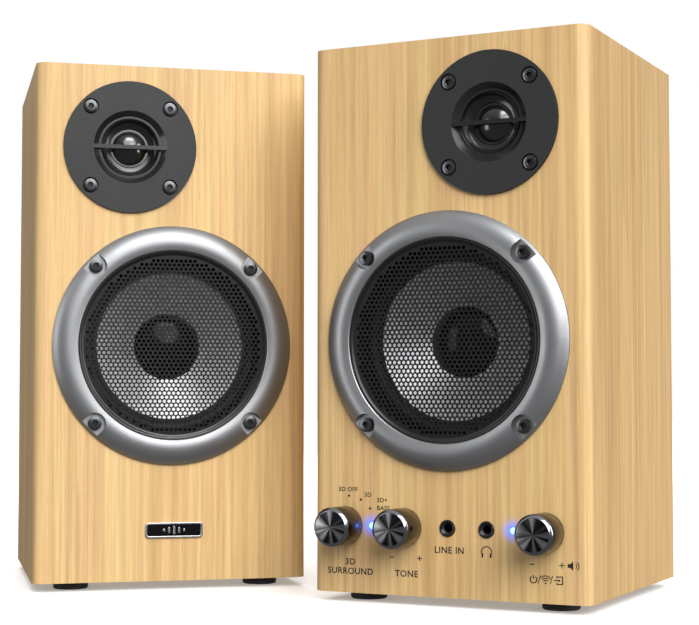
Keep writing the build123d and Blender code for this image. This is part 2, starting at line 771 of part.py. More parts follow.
def rca_jacks():
    """Three phono sockets, from the amplifier board out through the plate."""
    face = REAR_FACE + AMP_T
    board_back = REAR_FACE - AMP_BOARD_GAP + PCB_T
    return group([
        turned(
            (0, board_back),
            (RCA_BODY_R, board_back),
            (RCA_BODY_R, face),
            (RCA_NUT_R, face),
            (RCA_NUT_R, face + RCA_NUT_T),
            (RCA_R, face + RCA_NUT_T),
            (RCA_R, face + RCA_L),
            (RCA_HOLE_R, face + RCA_L),
            (RCA_HOLE_R, face - RCA_L),
            (0, face - RCA_L),
            x=x,
            z=RCA_Z,
        )
        for x in RCA_X
    ])


def power_inlet():
    """One module: mains socket with two pins below, rocker well with pivot holes above."""
    face = REAR_FACE + AMP_T
    front = face - INLET_D
    flange_front, flange_back = face, face + INLET_FLANGE_T
    rocker_z = INLET_Z + HALF_PITCH
    socket_z = INLET_Z - HALF_PITCH
    lap = 2 * INLET_LIP
    body = block(INLET_W, INLET_H, front, face, INLET_X, INLET_Z)
    body += block(INLET_W + lap, INLET_H + lap, flange_front, flange_back, INLET_X, INLET_Z, INLET_LIP)
    well_w = ROCKER_W + 2 * ROCKER_GAP
    body -= block(well_w, ROCKER_SLOT_H, front + 2.0, flange_back, INLET_X, rocker_z)
    recess = extrude(SlotOverall(SOCKET_W, SOCKET_H), SOCKET_DEPTH)
    body -= Pos(INLET_X, flange_back, socket_z) * Rot(90, 0, 0) * recess
    for side in (-1, 1):
        pin_root = flange_back - SOCKET_DEPTH
        body += rod(PIN_R, pin_root, pin_root + PIN_L, INLET_X + side * PIN_X, socket_z)
        hole_l = ROCKER_PIN_L + ROCKER_GAP
        hole = Rot(0, 90, 0) * Cylinder(ROCKER_PIN_R + SHAFT_FIT, hole_l)
        hole_x = INLET_X + side * (well_w / 2 + hole_l / 2)
        body -= Pos(hole_x, rocker_pivot_depth(), rocker_z) * hole
    return body


def rocker_pivot_depth():
    """Depth of the rocker's pivot."""
    return REAR_FACE + AMP_T - 1.5


def power_rocker():
    """Rocker with two pivot pins, at rest with its upper end out."""
    rocker_z = INLET_Z + HALF_PITCH
    half = ROCKER_H / 2
    outer = 6.4
    outline = Polyline((-half, -3.0), (half, -3.0), (half, outer), (0, outer - 1.6), (-half, outer), close=True)
    key = extrude(Plane.YZ * Rot(0, 0, 0) * make_face(outline), ROCKER_W / 2, both=True)
    key = Rot(90, 0, 0) * key
    pins = Rot(0, 90, 0) * Cylinder(ROCKER_PIN_R, ROCKER_W + 2 * ROCKER_PIN_L)
    return Pos(INLET_X, rocker_pivot_depth(), rocker_z) * Rot(ROCKER_SWING, 0, 0) * (key + pins)


def power_transformer():
    """Laminated core with a wound bobbin, standing on the bottom board."""
    z = BOARD_T + TRAFO_H / 2
    front, back = TRAFO_Y - TRAFO_D / 2, TRAFO_Y + TRAFO_D / 2
    window_w = (TRAFO_W - 4 * TRAFO_LEG) / 2
    window_h = TRAFO_H - 2 * TRAFO_LEG
    core = block(TRAFO_W, TRAFO_H, front, back, TRAFO_X, z)
    for side in (-1, 1):
        core -= block(window_w, window_h, front, back, TRAFO_X + side * (TRAFO_LEG + window_w / 2), z)
    gap = 2 * CLEAR
    wound = window_w - gap
    coil = block(2 * (TRAFO_LEG + wound), window_h - gap, front - wound, back + wound, TRAFO_X, z)
    coil -= block(2 * TRAFO_LEG + gap, window_h, front - CLEAR, back + CLEAR, TRAFO_X, z)
    return group([core, coil])


def amplifier_board():
    """Amplifier circuit board with two reservoir capacitors and a finned heat sink."""
    back = REAR_FACE - AMP_BOARD_GAP + PCB_T
    front = back - PCB_T
    middle = RCA_Z - AMP_BOARD_H / 2 + 2 * RCA_NUT_R
    board = block(AMP_BOARD_W, AMP_BOARD_H, front, back, 0, middle)
    solids = [board]
    for x in (-3 * CAPACITOR_R, -0.5 * CAPACITOR_R):
        solids.append(rod(CAPACITOR_R, front - CAPACITOR_L, front, x, middle - 2 * CAPACITOR_R))
    sink = block(SINK_W, SINK_W, front - BASKET_T * 2, front, SINK_W * 0.85, middle)
    for i in range(SINK_FINS):
        x = SINK_W * 0.35 + BASKET_T / 2 + (SINK_W - BASKET_T) * i / (SINK_FINS - 1)
        sink += block(BASKET_T, SINK_W, front - SINK_D, front, x, middle)
    return group(solids + [sink])


# ---------------------------------------------------------------- rear of the passive one
def terminal_opening():
    """What the rear board loses for the terminal cup."""
    gap = 2 * (POCKET_WALL + CLEAR)
    return block(POCKET_W + gap, POCKET_H + gap, REAR_FACE - BOARD_T, REAR_FACE, 0, CUP_Z)


def lever_place(side):
    """Middle of a lever on the left (-1) or right (1) of the rib, and its width."""
    inner = RIB_W / 2 + LEVER_GAP
    outer = POCKET_W / 2 - LEVER_GAP
    return side * (inner + outer) / 2, outer - inner


def terminal_cup():
    """Moulded cup with a recess for two spring levers, a rib between them and two wire holes."""
    mouth = REAR_FACE + REAR_INSET
    floor = mouth - POCKET_D
    wall = 2 * POCKET_WALL
    cup = block(POCKET_W + wall, POCKET_H + wall, floor - POCKET_WALL, REAR_FACE, 0, CUP_Z)
    cup += block(CUP_W, CUP_W, REAR_FACE, mouth, 0, CUP_Z, CUP_CORNER)
    cup -= block(POCKET_W, POCKET_H, floor, mouth, 0, CUP_Z)
    cup += block(RIB_W, POCKET_H, floor, mouth, 0, CUP_Z)
    for side in (-1, 1):
        x, width = lever_place(side)
        hole = Rot(0, 90, 0) * Cylinder(LEVER_PIN_R + SHAFT_FIT, width + 2 * (LEVER_GAP + LEVER_PIN_L))
        cup -= Pos(x, mouth - LEVER_DEPTH, CUP_Z) * hole
        cup -= rod(WIRE_HOLE_R, floor - POCKET_WALL, floor, x, CUP_Z - POCKET_H / 2 + WIRE_HOLE_R + 0.5)
    return cup


def terminal_lever(side):
    """Spring lever with two pivot pins."""
    x, width = lever_place(side)
    tab = Box(width, LEVER_T, LEVER_H)
    tab = fillet(tab.edges().filter_by(Axis.X), LEVER_T * 0.3)
    pins = Rot(0, 90, 0) * Cylinder(LEVER_PIN_R, width + 2 * LEVER_PIN_L)
    return Pos(x, REAR_FACE + REAR_INSET - LEVER_DEPTH, CUP_Z) * (tab + pins)


def tweeter_capacitor():
    """Film capacitor that feeds the tweeter, glued to the rear board."""
    y = REAR_FACE - BOARD_T - FILM_CAP_R
    return Pos(0, y, FILM_CAP_Z) * Rot(0, 90, 0) * Cylinder(FILM_CAP_R, FILM_CAP_L)


def badge():
    """Plain rounded plate on the front board."""
    return block(BADGE_W, BADGE_H, -BADGE_T, 0, BADGE_X, BADGE_Z, BADGE_CORNER)


# ---------------------------------------------------------------- the two loudspeakers
def common_parts(tweeter_x, holes, rear_openings):
    """What both loudspeakers have; the tweeter sits towards the outer side."""
    return {
        "front_board": front_board(tweeter_x, holes),
        "side_panels": side_panels(),
        "end_panels": end_panels(),
        "rear_panel": rear_panel(rear_openings),
        "feet": feet(),
        "port_tube": port_tube(),
        "woofer_trim_ring": woofer_trim_ring(),
        "woofer_grille": woofer_grille(),
        "woofer_basket": woofer_basket(),
        "woofer_surround": woofer_surround(),
        "woofer_spider": woofer_spider(),
        "woofer_cone": woofer_cone(),
        "woofer_dust_cap": woofer_dust_cap(),
        "woofer_voice_coil": woofer_voice_coil(),
        "woofer_motor": woofer_motor(),
        "woofer_screws": woofer_screws(),
        "tweeter_faceplate": tweeter_faceplate(tweeter_x),
        "tweeter_dome": tweeter_dome(tweeter_x),
        "tweeter_motor": tweeter_motor(tweeter_x),
        "tweeter_screws": tweeter_screws(tweeter_x),
    }


def active_parts():
    """The loudspeaker with the amplifier and the controls."""
    own = {
        "surround_knob": knob(SURROUND_X),
        "surround_switch": turning_control(SURROUND_X),
        "tone_knob": knob(TONE_X),
        "tone_potentiometer": turning_control(TONE_X),
        "volume_knob": knob(VOLUME_X, flat=True),
        "volume_rotor": volume_rotor(),
        "volume_encoder": volume_encoder(),
        "control_board": control_board(),
        "front_jacks": front_jacks(),
        "indicator_leds": indicator_leds(),
        "amplifier_plate": amplifier_plate(),
        "amplifier_plate_screws": amplifier_plate_screws(),
        "amplifier_board": amplifier_board(),
        "power_transformer": power_transformer(),
        "rca_jacks": rca_jacks(),
        "power_inlet": power_inlet(),
        "power_rocker": power_rocker(),
    }
    return common_parts(TWEETER_X, control_holes(), [amplifier_opening()]) | own


def passive_parts():
    """The loudspeaker that the active one drives."""
    own = {
        "terminal_cup": terminal_cup(),
        "terminal_lever_red": terminal_lever(-1),
        "terminal_lever_black": terminal_lever(1),
        "tweeter_capacitor": tweeter_capacitor(),
        "badge": badge(),
    }
    return common_parts(-TWEETER_X, [], [terminal_opening()]) | own


def placed_pair():
    """Every node of both loudspeakers, turned towards the middle, with the origin under the pair."""
    passive_at = Pos(0, 0, FOOT_H) * Rot(0, 0, TOE_IN)
    active_at = Pos(STANCE_X, STANCE_Y, FOOT_H) * Rot(0, 0, -TOE_IN)
    nodes = {f"active_{name}": active_at * shape for name, shape in active_parts().items()}
    nodes |= {f"passive_{name}": passive_at * shape for name, shape in passive_parts().items()}
    low_x = min(shape.bounding_box().min.X for shape in nodes.values())
    high_x = max(shape.bounding_box().max.X for shape in nodes.values())
    low_y = min(shape.bounding_box().min.Y for shape in nodes.values())
    high_y = max(shape.bounding_box().max.Y for shape in nodes.values())
    centre = Pos(-(low_x + high_x) / 2, -(low_y + high_y) / 2, 0)
    frames = {"active": centre * active_at, "passive": centre * passive_at}
    return {name: centre * shape for name, shape in nodes.items()}, frames


nodes, frames = placed_pair()
os.makedirs("parts", exist_ok=True)
for name, shape in nodes.items():
    export_step(shape, f"parts/{name}.step")
for name, frame in frames.items():
    print(f"{name} cabinet: front middle at {frame.position}, turned {frame.orientation.Z:.2f} degrees")
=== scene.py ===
"""Looks of the pair of desktop loudspeakers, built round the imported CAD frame.

Pieces are made in a "face frame": u to the right as seen by someone facing that side, v up, and w
out towards them. A Cabinet turns that frame, or the cabinet's own x, y, z, into the shared frame.
Sizes in the making of pieces are in millimetres; Blender gets metres.
"""
import json
import math

import bpy
import bmesh
from mathutils import Matrix, Vector, geometry


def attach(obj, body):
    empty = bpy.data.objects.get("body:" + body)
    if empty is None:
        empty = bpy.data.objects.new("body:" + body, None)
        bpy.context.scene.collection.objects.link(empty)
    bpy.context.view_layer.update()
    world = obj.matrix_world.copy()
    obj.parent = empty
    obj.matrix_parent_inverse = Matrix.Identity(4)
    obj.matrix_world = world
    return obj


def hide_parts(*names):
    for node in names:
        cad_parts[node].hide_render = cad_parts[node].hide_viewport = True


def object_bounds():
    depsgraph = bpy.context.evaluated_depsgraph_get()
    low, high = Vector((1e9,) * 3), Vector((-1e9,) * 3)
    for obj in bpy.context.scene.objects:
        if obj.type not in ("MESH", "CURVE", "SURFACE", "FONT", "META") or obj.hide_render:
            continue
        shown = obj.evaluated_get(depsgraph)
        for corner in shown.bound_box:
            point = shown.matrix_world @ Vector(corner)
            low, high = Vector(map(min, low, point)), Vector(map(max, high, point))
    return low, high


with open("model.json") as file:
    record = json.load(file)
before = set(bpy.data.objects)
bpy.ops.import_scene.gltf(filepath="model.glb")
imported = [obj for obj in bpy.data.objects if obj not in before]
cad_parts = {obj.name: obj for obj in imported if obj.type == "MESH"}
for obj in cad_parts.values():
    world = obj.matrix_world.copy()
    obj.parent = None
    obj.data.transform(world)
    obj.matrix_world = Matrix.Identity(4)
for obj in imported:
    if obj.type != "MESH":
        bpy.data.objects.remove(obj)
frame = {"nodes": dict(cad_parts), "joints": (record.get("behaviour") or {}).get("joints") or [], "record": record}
cad_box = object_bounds()
cad = frame["nodes"]
joints = {joint["name"]: joint for joint in frame["joints"]}
MM = 0.001
TAU = 2 * math.pi
SHARP_DEGREES = 30  # edges steeper than this stay sharp
INK_T = 0.04  # thickness of the printing
JACK_BODY_R = 5.5  # body of a 3.5 mm socket, behind the front board
LED_R = 1.5
LED_FLANGE_R = 1.9


# ---------------------------------------------------------------- where things are
class Cabinet:
    """One loudspeaker's own frame: x right, y into the cabinet, z up, from the front bottom middle."""

    def __init__(self, prefix):
        self.prefix = prefix
        self.body = prefix + "_cabinet"
        outward = Vector(joints[prefix + "_woofer_travel"]["axis"]).normalized()
        inward, right = -outward, Vector((-outward.y, outward.x, 0.0))
        shell = [v.co for v in cad[prefix + "_front_board"].data.vertices]
        across = [p.dot(right) for p in shell]
        middle = right * (min(across) + max(across)) / 2
        front = inward * min(p.dot(inward) for p in shell)
        origin = middle + front + Vector((0, 0, min(p.z for p in shell)))
        self.matrix = Matrix((right, inward, (0, 0, 1))).transposed().to_4x4()
        self.matrix.translation = origin
        self.inverse = self.matrix.inverted()
        self.yaw = math.atan2(right.y, right.x)

    def box(self, name):
        """Lowest and highest corner of this cabinet's node, in its own frame, in mm."""
        points = [self.inverse @ v.co for v in cad[f"{self.prefix}_{name}"].data.vertices]
        low = [min(p[i] for p in points) / MM for i in range(3)]
        high = [max(p[i] for p in points) / MM for i in range(3)]
        return low, high

    def middle(self, name):
        low, high = self.box(name)
        return [(a + b) / 2 for a, b in zip(low, high)]

    def face(self, x, y, z, rear=False):
        """Matrix of a face frame with its origin at x, y, z (mm)."""
        side = -1 if rear else 1
        turn = Matrix(((side, 0, 0), (0, 0, -side), (0, 1, 0))).to_4x4()
        return self.matrix @ Matrix.Translation(Vector((x, y, z)) * MM) @ turn


ACTIVE, PASSIVE = Cabinet("active"), Cabinet("passive")
BOTH = (ACTIVE, PASSIVE)


# ---------------------------------------------------------------- mesh making
def piece(name, bm, materials, matrix, body, stands_for=()):
    """Turns a bmesh in mm into an object in place that rides on a body."""
    bmesh.ops.scale(bm, vec=(MM, MM, MM), verts=bm.verts)
    mesh = bpy.data.meshes.new(name)
    bm.to_mesh(mesh)
    bm.free()
    for material in materials:
        mesh.materials.append(material)
    mesh.shade_smooth()
    mesh.set_sharp_from_angle(angle=math.radians(SHARP_DEGREES))
    obj = bpy.data.objects.new(name, mesh)
    bpy.context.scene.collection.objects.link(obj)
    obj.matrix_world = matrix
    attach(obj, body)
    if stands_for:
        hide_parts(*stands_for)
    return obj


def add_lathe(bm, profile, at=(0, 0), segments=96, zones=None):
    """Adds a turned shape about the w axis; the profile is (radius, w) points, the radius a number or a
    function of the angle. A profile that doesn't start and end on the axis is closed to a ring."""
    rings = []
    for radius, w in profile:
        if radius == 0:
            rings.append([bm.verts.new((at[0], at[1], w))])
            continue
        ring = []
        for i in range(segments):
            a = TAU * i / segments
            r = radius(a) if callable(radius) else radius
            ring.append(bm.verts.new((at[0] + r * math.cos(a), at[1] + r * math.sin(a), w)))
        rings.append(ring)
    pairs = list(zip(rings, rings[1:]))
    if len(rings[0]) > 1 and len(rings[-1]) > 1:
        pairs.append((rings[-1], rings[0]))
    made = []
    for k, (a, b) in enumerate(pairs):
        if len(a) == 1 and len(b) == 1:
            continue
        for i in range(segments):
            j = (i + 1) % segments
            if len(a) == 1:
                corners = (a[0], b[j], b[i])
            elif len(b) == 1:
                corners = (a[i], a[j], b[0])
            else:
                corners = (a[i], a[j], b[j], b[i])
            face = bm.faces.new(corners)
            face.material_index = zones[k] if zones else 0
            made.append(face)
    bmesh.ops.recalc_face_normals(bm, faces=made)
    return made


def add_plate(bm, outline, w_back, w_front, bevel=0.0, zone=0, holes=()):
    """Adds a plate cut to an outline of (u, v) points, with an eased front edge and holes."""
    loops = [list(outline)] + [list(h) for h in holes]
    points, faces = [], []
    for loop in loops:
        faces.append(list(range(len(points), len(points) + len(loop))))
        points += [Vector(p) for p in loop]
    edges = [(f[i], f[(i + 1) % len(f)]) for f in faces for i in range(len(f))]
    out = geometry.delaunay_2d_cdt(points, edges, faces, 2, 1e-5)
    flat = [bm.verts.new((p.x, p.y, w_front)) for p in out[0]]
    made = []
    for corners in out[2]:
        made.append(bm.faces.new([flat[i] for i in corners]))
    for vert in flat:
        if not vert.link_faces:
            bm.verts.remove(vert)
    made_back = bmesh.ops.duplicate(bm, geom=made)
    back_faces = [g for g in made_back["geom"] if isinstance(g, bmesh.types.BMFace)]
    pair = made_back["vert_map"]
    rim = {e for f in made for e in f.edges if len(e.link_faces) == 1}
    for f in back_faces:
        for v in f.verts:
            v.co.z = w_back
    for e in rim:
        a, b = e.verts
        made.append(bm.faces.new((a, b, pair[b], pair[a])))
    everything = made + back_faces
    bmesh.ops.recalc_face_normals(bm, faces=everything)
    for f in everything:
        f.material_index = zone
    if bevel:
        bmesh.ops.bevel(bm, geom=list(rim), offset=bevel, segments=3, affect="EDGES", profile=0.5)
    return everything


def rounded(width, height, radius, at=(0, 0), steps=8):
    """Outline of a rectangle with rounded corners."""
    points = []
    for quarter, (sx, sy) in enumerate(((1, 1), (-1, 1), (-1, -1), (1, -1))):
        cx, cy = at[0] + sx * (width / 2 - radius), at[1] + sy * (height / 2 - radius)
        for i in range(steps + 1):
            a = TAU / 4 * (quarter + i / steps)
            points.append((cx + radius * math.cos(a), cy + radius * math.sin(a)))
    return points


def circle(radius, at=(0, 0), steps=48, turn=0.0):
    angles = [TAU * i / steps + turn for i in range(steps)]
    return [(at[0] + radius * math.cos(a), at[1] + radius * math.sin(a)) for a in angles]


def hexagon(across_flats):
    """Radius of a hexagon as a function of the angle."""
    return lambda a: across_flats / 2 / math.cos((a % (TAU / 6)) - TAU / 12)


# ---------------------------------------------------------------- materials
class Shader:
    """A Principled material and short ways to add nodes to it."""

    def __init__(self, name, **sockets):
        self.material = bpy.data.materials.new(name)
        self.material.use_nodes = True
        self.tree = self.material.node_tree
        self.out = self.tree.nodes["Principled BSDF"]
        for key, value in sockets.items():
            self.out.inputs[key.replace("_", " ")].default_value = value

    def node(self, kind, **inputs):
        made = self.tree.nodes.new("ShaderNode" + kind)
        for key, value in inputs.items():
            self.plug(value, made.inputs[int(key[1:]) if key[0] == "i" and key[1:].isdigit() else key])
        return made

    def plug(self, value, socket):
        if isinstance(value, bpy.types.NodeSocket):
            self.tree.links.new(value, socket)
        else:
            socket.default_value = value

    def place(self, cab=None, scale=(1, 1, 1)):
        """Object coordinates in mm, in the cabinet's own frame if one is given, then scaled."""
        object_space = self.node("TexCoord").outputs["Object"]
        if cab is not None:
            shift = self.node("VectorMath", i0=object_space, i1=tuple(cab.matrix.translation))
            shift.operation = "SUBTRACT"
            turn = self.node("Mapping", Vector=shift.outputs[0], Rotation=(0, 0, -cab.yaw))
            object_space = turn.outputs[0]
        mm = self.node("VectorMath", i0=object_space, i1=tuple(s / MM for s in scale))
        mm.operation = "MULTIPLY"
        return mm.outputs[0]

    def noise(self, vector, scale=1.0, detail=2.0, rough=0.5, distortion=0.0):
        made = self.node(
            "TexNoise", Vector=vector, Scale=scale, Detail=detail, Roughness=rough, Distortion=distortion
        )
        return made.outputs["Fac"]

    def ramp(self, fac, *stops):
        made = self.node("ValToRGB", Fac=fac)
        elements = made.color_ramp.elements
        while len(elements) < len(stops):
            elements.new(0.5)
        for element, (at, colour) in zip(elements, stops):
            element.position = at
            element.color = (*colour, 1) if isinstance(colour, tuple) else (colour, colour, colour, 1)
        return made.outputs["Color"]

    def span(self, value, low, high, to_low=0.0, to_high=1.0):
        made = self.node("MapRange", Value=value)
        for key, number in zip(("From Min", "From Max", "To Min", "To Max"), (low, high, to_low, to_high)):
            made.inputs[key].default_value = number
        return made.outputs[0]

    def mix(self, fac, a, b, blend="MIX"):
        made = self.node("Mix")
        made.data_type, made.blend_type = "RGBA", blend
        for index, value in ((0, fac), (6, a), (7, b)):
            if isinstance(value, tuple) and len(value) == 3:
                value = (*value, 1)
            self.plug(value, made.inputs[index])
        return made.outputs[2]

    def math(self, operation, a, b=0.0):
        made = self.node("Math", i0=a, i1=b)
        made.operation = operation
        return made.outputs[0]

    def bump(self, height, strength, distance):
        """Normal from a height; the distance is in mm."""
        return self.node("Bump", Height=height, Strength=strength, Distance=distance * MM).outputs["Normal"]

    def set(self, **values):
        for key, value in values.items():
            self.plug(value, self.out.inputs[key.replace("_", " ")])
        return self


def srgb(r, g, b):
    """Linear colour from 8-bit sRGB."""
    return tuple(((c / 255 + 0.055) / 1.055) ** 2.4 if c > 10 else c / 255 / 12.92 for c in (r, g, b))


def oak(name, cab, glow_at=()):
    """Light oak vinyl: plank-like tone bands, growth streaks and fine pores that run up each side, and
    from front to back on top."""
    s = Shader(name, Specular_IOR_Level=0.42)
    upright = s.place(cab)
    normal = s.node("TexCoord").outputs["Normal"]
    parts = s.node("SeparateXYZ", Vector=normal)
    level = s.span(s.math("ABSOLUTE", parts.outputs["Z"]), 0.6, 0.8)
    split = s.node("SeparateXYZ", Vector=upright)
    laid = s.node("CombineXYZ", X=split.outputs["X"], Y=split.outputs["Z"], Z=split.outputs["Y"])
    pick = s.node("Mix")
    pick.data_type = "VECTOR"
    s.plug(level, pick.inputs[0])
    s.plug(upright, pick.inputs[4])
    s.plug(laid.outputs[0], pick.inputs[5])
    at = pick.outputs[1]

    def stretched(across, along, seed):
        mapped = s.node("Mapping", Vector=at, Location=(seed * 7.3, seed * 3.1, seed * 11.7))
        made = s.node("VectorMath", i0=mapped.outputs[0], i1=(1 / across, 1 / across, 1 / along))
        made.operation = "MULTIPLY"
        return made.outputs[0]

    sway = s.noise(stretched(60, 160, 1), detail=1.0)
    bands = s.noise(stretched(17, 900, 2), detail=3.0, rough=0.62, distortion=0.5)
    tint = s.noise(stretched(9, 500, 8), detail=2.0, rough=0.6, distortion=0.3)
    cathedral = s.node("TexWave", Vector=stretched(34, 520, 5), Scale=1.3, Distortion=6.0, Detail=2.5)
    cathedral.wave_profile = "SAW"
    cathedral.bands_direction = "X"
    streaks = s.noise(stretched(2.3, 150, 3), detail=4.0, rough=0.70)
    fine = s.noise(stretched(0.45, 26, 4), detail=2.0, rough=0.6)
    pores = s.noise(stretched(0.34, 6.5, 6), detail=1.0)
    patches = s.noise(stretched(22, 90, 9), detail=2.0)
    pale = s.ramp(
        bands,
        (0.30, srgb(198, 160, 103)),
        (0.42, srgb(215, 178, 117)),
        (0.50, srgb(228, 194, 132)),
        (0.58, srgb(218, 180, 121)),
        (0.70, srgb(238, 208, 147)),
    )
    base = s.mix(s.span(tint, 0.42, 0.62, 0.0, 0.45), pale, srgb(225, 180, 130))
    rings = s.span(cathedral.outputs["Fac"], 0.0, 1.0, 0.93, 1.04)
    depth = s.span(patches, 0.35, 0.65, 0.35, 1.0)
    streak = s.math("MULTIPLY", s.math("SUBTRACT", s.span(streaks, 0.32, 0.66, 0.78, 1.10), 1.0), depth)
    tone = s.math("MULTIPLY", rings, s.math("ADD", streak, 1.0))
    tone = s.math("MULTIPLY", tone, s.span(fine, 0.3, 0.7, 0.92, 1.05))
    tone = s.math("MULTIPLY", tone, s.span(sway, 0.3, 0.7, 0.96, 1.04))
    hole = s.math("MULTIPLY", s.span(pores, 0.64, 0.72), depth)
    tone = s.math("MULTIPLY", tone, s.span(hole, 0, 1, 1.0, 0.83))
    colour = s.mix(1.0, base, s.ramp(tone, (0.0, 0.0), (1.0, 1.0)), "MULTIPLY")
    warm = s.mix(s.span(streaks, 0.56, 0.34, 0.0, 0.28), colour, srgb(190, 138, 88))
    height = s.math("SUBTRACT", s.math("MULTIPLY", streaks, 0.6), s.math("MULTIPLY", hole, 0.5))
    height = s.math("ADD", height, s.math("MULTIPLY", fine, 0.35))
    s.set(Base_Color=warm, Roughness=s.span(fine, 0.25, 0.75, 0.50, 0.62))
    s.set(Normal=s.bump(height, 0.22, 0.06))
    if glow_at:
        # painted light: a blue glow round each lamp, painted into the wood's colour and shining from the wood
        # itself; lamps below holds this painted glow, not the lamps
        glow_from, glow_to, falloff = 1.2, 7.5, 1.9
        lamps = None
        for x, z in glow_at:
            away = s.node("VectorMath", i0=upright, i1=(x, 0, z))
            away.operation = "DISTANCE"
            near = s.math("POWER", s.span(away.outputs["Value"], glow_from, glow_to, 1.0, 0.0), falloff)
            lamps = near if lamps is None else s.math("ADD", lamps, near)
        s.out.inputs["Emission Color"].default_value = (0.04, 0.14, 1.0, 1)
        s.set(Base_Color=s.mix(s.math("MULTIPLY", lamps, 0.8), warm, (0.10, 0.24, 0.9)))
        s.set(Emission_Strength=s.math("MULTIPLY", lamps, 0.9))
    return s.material


def finish(name, colour, rough, metallic=0.0, spread=0.12, grain=0.35, bump=0.08, depth=0.03,
           stretch=(1, 1, 1), coat=0.0, scuff=0.05, specular=0.5):
    """A painted, moulded or cast surface: fine grain in colour, roughness and height, and soft scuffs.
    The grain and its depth are in mm; spread is how far the colour varies."""
    s = Shader(name, Metallic=metallic, Specular_IOR_Level=specular)
    if coat:
        s.out.inputs["Coat Weight"].default_value = coat
        s.out.inputs["Coat Roughness"].default_value = 0.12
    at = s.place(scale=stretch)
    small = s.noise(at, 1 / grain, 2.0, 0.6)
    broad = s.noise(at, 0.045, 3.0, 0.55)
    dark = tuple(c * (1 - spread) for c in colour)
    light = tuple(min(1.0, c * (1 + spread) + 0.002) for c in colour)
    mixed = s.mix(s.span(small, 0.3, 0.7), dark, light)
    uneven = s.math("ADD", s.span(small, 0.3, 0.7, -0.03, 0.03), s.span(broad, 0.3, 0.7, -scuff, scuff))
    s.set(Base_Color=mixed, Roughness=s.math("ADD", uneven, rough))
    s.set(Normal=s.bump(small, bump, depth))
    return s.material


def spun(name, colour, rough, anisotropy, lines=9.0, spread=0.25, painted_fan_strength=0.0):
    """Turned metal: fine circular tool marks and, when the last argument is above nought, painted highlights: pale
    streaks that fan out from the middle, painted into the colour in place of the reflections of a spun face.
    """
    s = Shader(name, Metallic=1.0, Anisotropic=anisotropy)
    at = s.place()
    flat = s.node("VectorMath", i0=at, i1=(1, 1, 0))
    flat.operation = "MULTIPLY"
    length = s.node("VectorMath", i0=flat.outputs[0])
    length.operation = "LENGTH"
    split = s.node("SeparateXYZ", Vector=at)
    rings = s.node("CombineXYZ", X=length.outputs["Value"], Y=0.0, Z=split.outputs["Z"])
    marks = s.noise(rings.outputs[0], lines, 2.0, 0.7)
    dark = tuple(c * (1 - spread) for c in colour)
    light = tuple(min(1.0, c * (1 + spread)) for c in colour)
    tangent = s.node("Tangent")
    tangent.direction_type, tangent.axis = "RADIAL", "Z"
    shade = s.mix(s.span(marks, 0.3, 0.7), dark, light)
    if painted_fan_strength:
        # painted highlight: pale fans of reflection, painted into the base colour at the given strength
        angle = s.math("ARCTAN2", split.outputs["Y"], split.outputs["X"])
        fan = s.node("CombineXYZ", X=s.math("COSINE", angle), Y=s.math("SINE", angle), Z=0.0)
        painted_fan_highlight = s.span(s.noise(fan.outputs[0], 1.9, 1.0), 0.40, 0.62)
        painted_fan_hairlines = s.noise(fan.outputs[0], 40.0, 1.0)
        painted_fan_highlight = s.math("MULTIPLY", painted_fan_highlight, s.span(painted_fan_hairlines, 0.3, 0.7, 0.8, 1.1))
        shade = s.mix(s.math("MULTIPLY", painted_fan_highlight, painted_fan_strength), shade, (0.30, 0.30, 0.31))
    s.set(Base_Color=shade)
    s.set(Roughness=s.span(marks, 0.3, 0.7, rough - 0.04, rough + 0.04))
    s.set(Normal=s.bump(marks, 0.06, 0.02), Tangent=tangent.outputs[0])
    return s.material


CONTROL_Z = ACTIVE.middle("volume_knob")[2]
LED_LOW, LED_HIGH = ACTIVE.box("indicator_leds")
LEDS = (LED_LOW[0] + LED_FLANGE_R, LED_HIGH[0] - LED_FLANGE_R)

OAK = {
    # the active one's wood carries the lamps' painted blue glow
    "active": oak("oak_active_painted_glow", ACTIVE, [(x, CONTROL_Z) for x in LEDS]),
    "passive": oak("oak_passive", PASSIVE),
}
SILVER = finish("silver_paint", srgb(134, 135, 137), 0.42, metallic=0.85, spread=0.08, grain=0.18,
                bump=0.05,
                depth=0.02, scuff=0.03)
GUARD = finish("guard_paint", srgb(7, 7, 8), 0.45, spread=0.10, grain=0.25, bump=0.05, specular=0.22)
LIP = finish("guard_lip_paint", srgb(16, 16, 17), 0.30, metallic=0.2, spread=0.15, grain=0.25, bump=0.05)
CONE = finish("cone_coating", srgb(246, 246, 247), 0.42, metallic=0.70, spread=0.06, grain=0.5, bump=0.10,
              depth=0.05)
CAP = finish("cap_lacquer", srgb(3, 3, 4), 0.12, spread=0.2, grain=0.6, bump=0.02, specular=0.3)
RUBBER = finish("surround_rubber", srgb(20, 20, 21), 0.55, spread=0.2, grain=0.4, bump=0.12)
FEET = finish("foot_rubber", srgb(24, 24, 25), 0.62, spread=0.2, grain=0.3, bump=0.2, depth=0.06)
BASKET = finish("basket_enamel", srgb(22, 22, 23), 0.45, spread=0.2, grain=0.6, bump=0.1)
IRON = finish("motor_iron", srgb(92, 94, 97), 0.42, metallic=0.8, spread=0.15, grain=0.5, bump=0.1,
              scuff=0.1)
CLOTH = finish("spider_cloth", srgb(172, 142, 78), 0.85, spread=0.25, grain=0.22, bump=0.4, depth=0.1)
FORMER = finish("coil_former", srgb(176, 120, 62), 0.35, metallic=0.4, spread=0.2, grain=0.3)
SCREW = finish("screw_oxide", srgb(74, 75, 77), 0.24, metallic=0.9, spread=0.2, grain=0.25, bump=0.08)
SOCKET = finish("screw_socket", srgb(11, 11, 12), 0.4, metallic=0.5, spread=0.2, grain=0.25, bump=0.08)
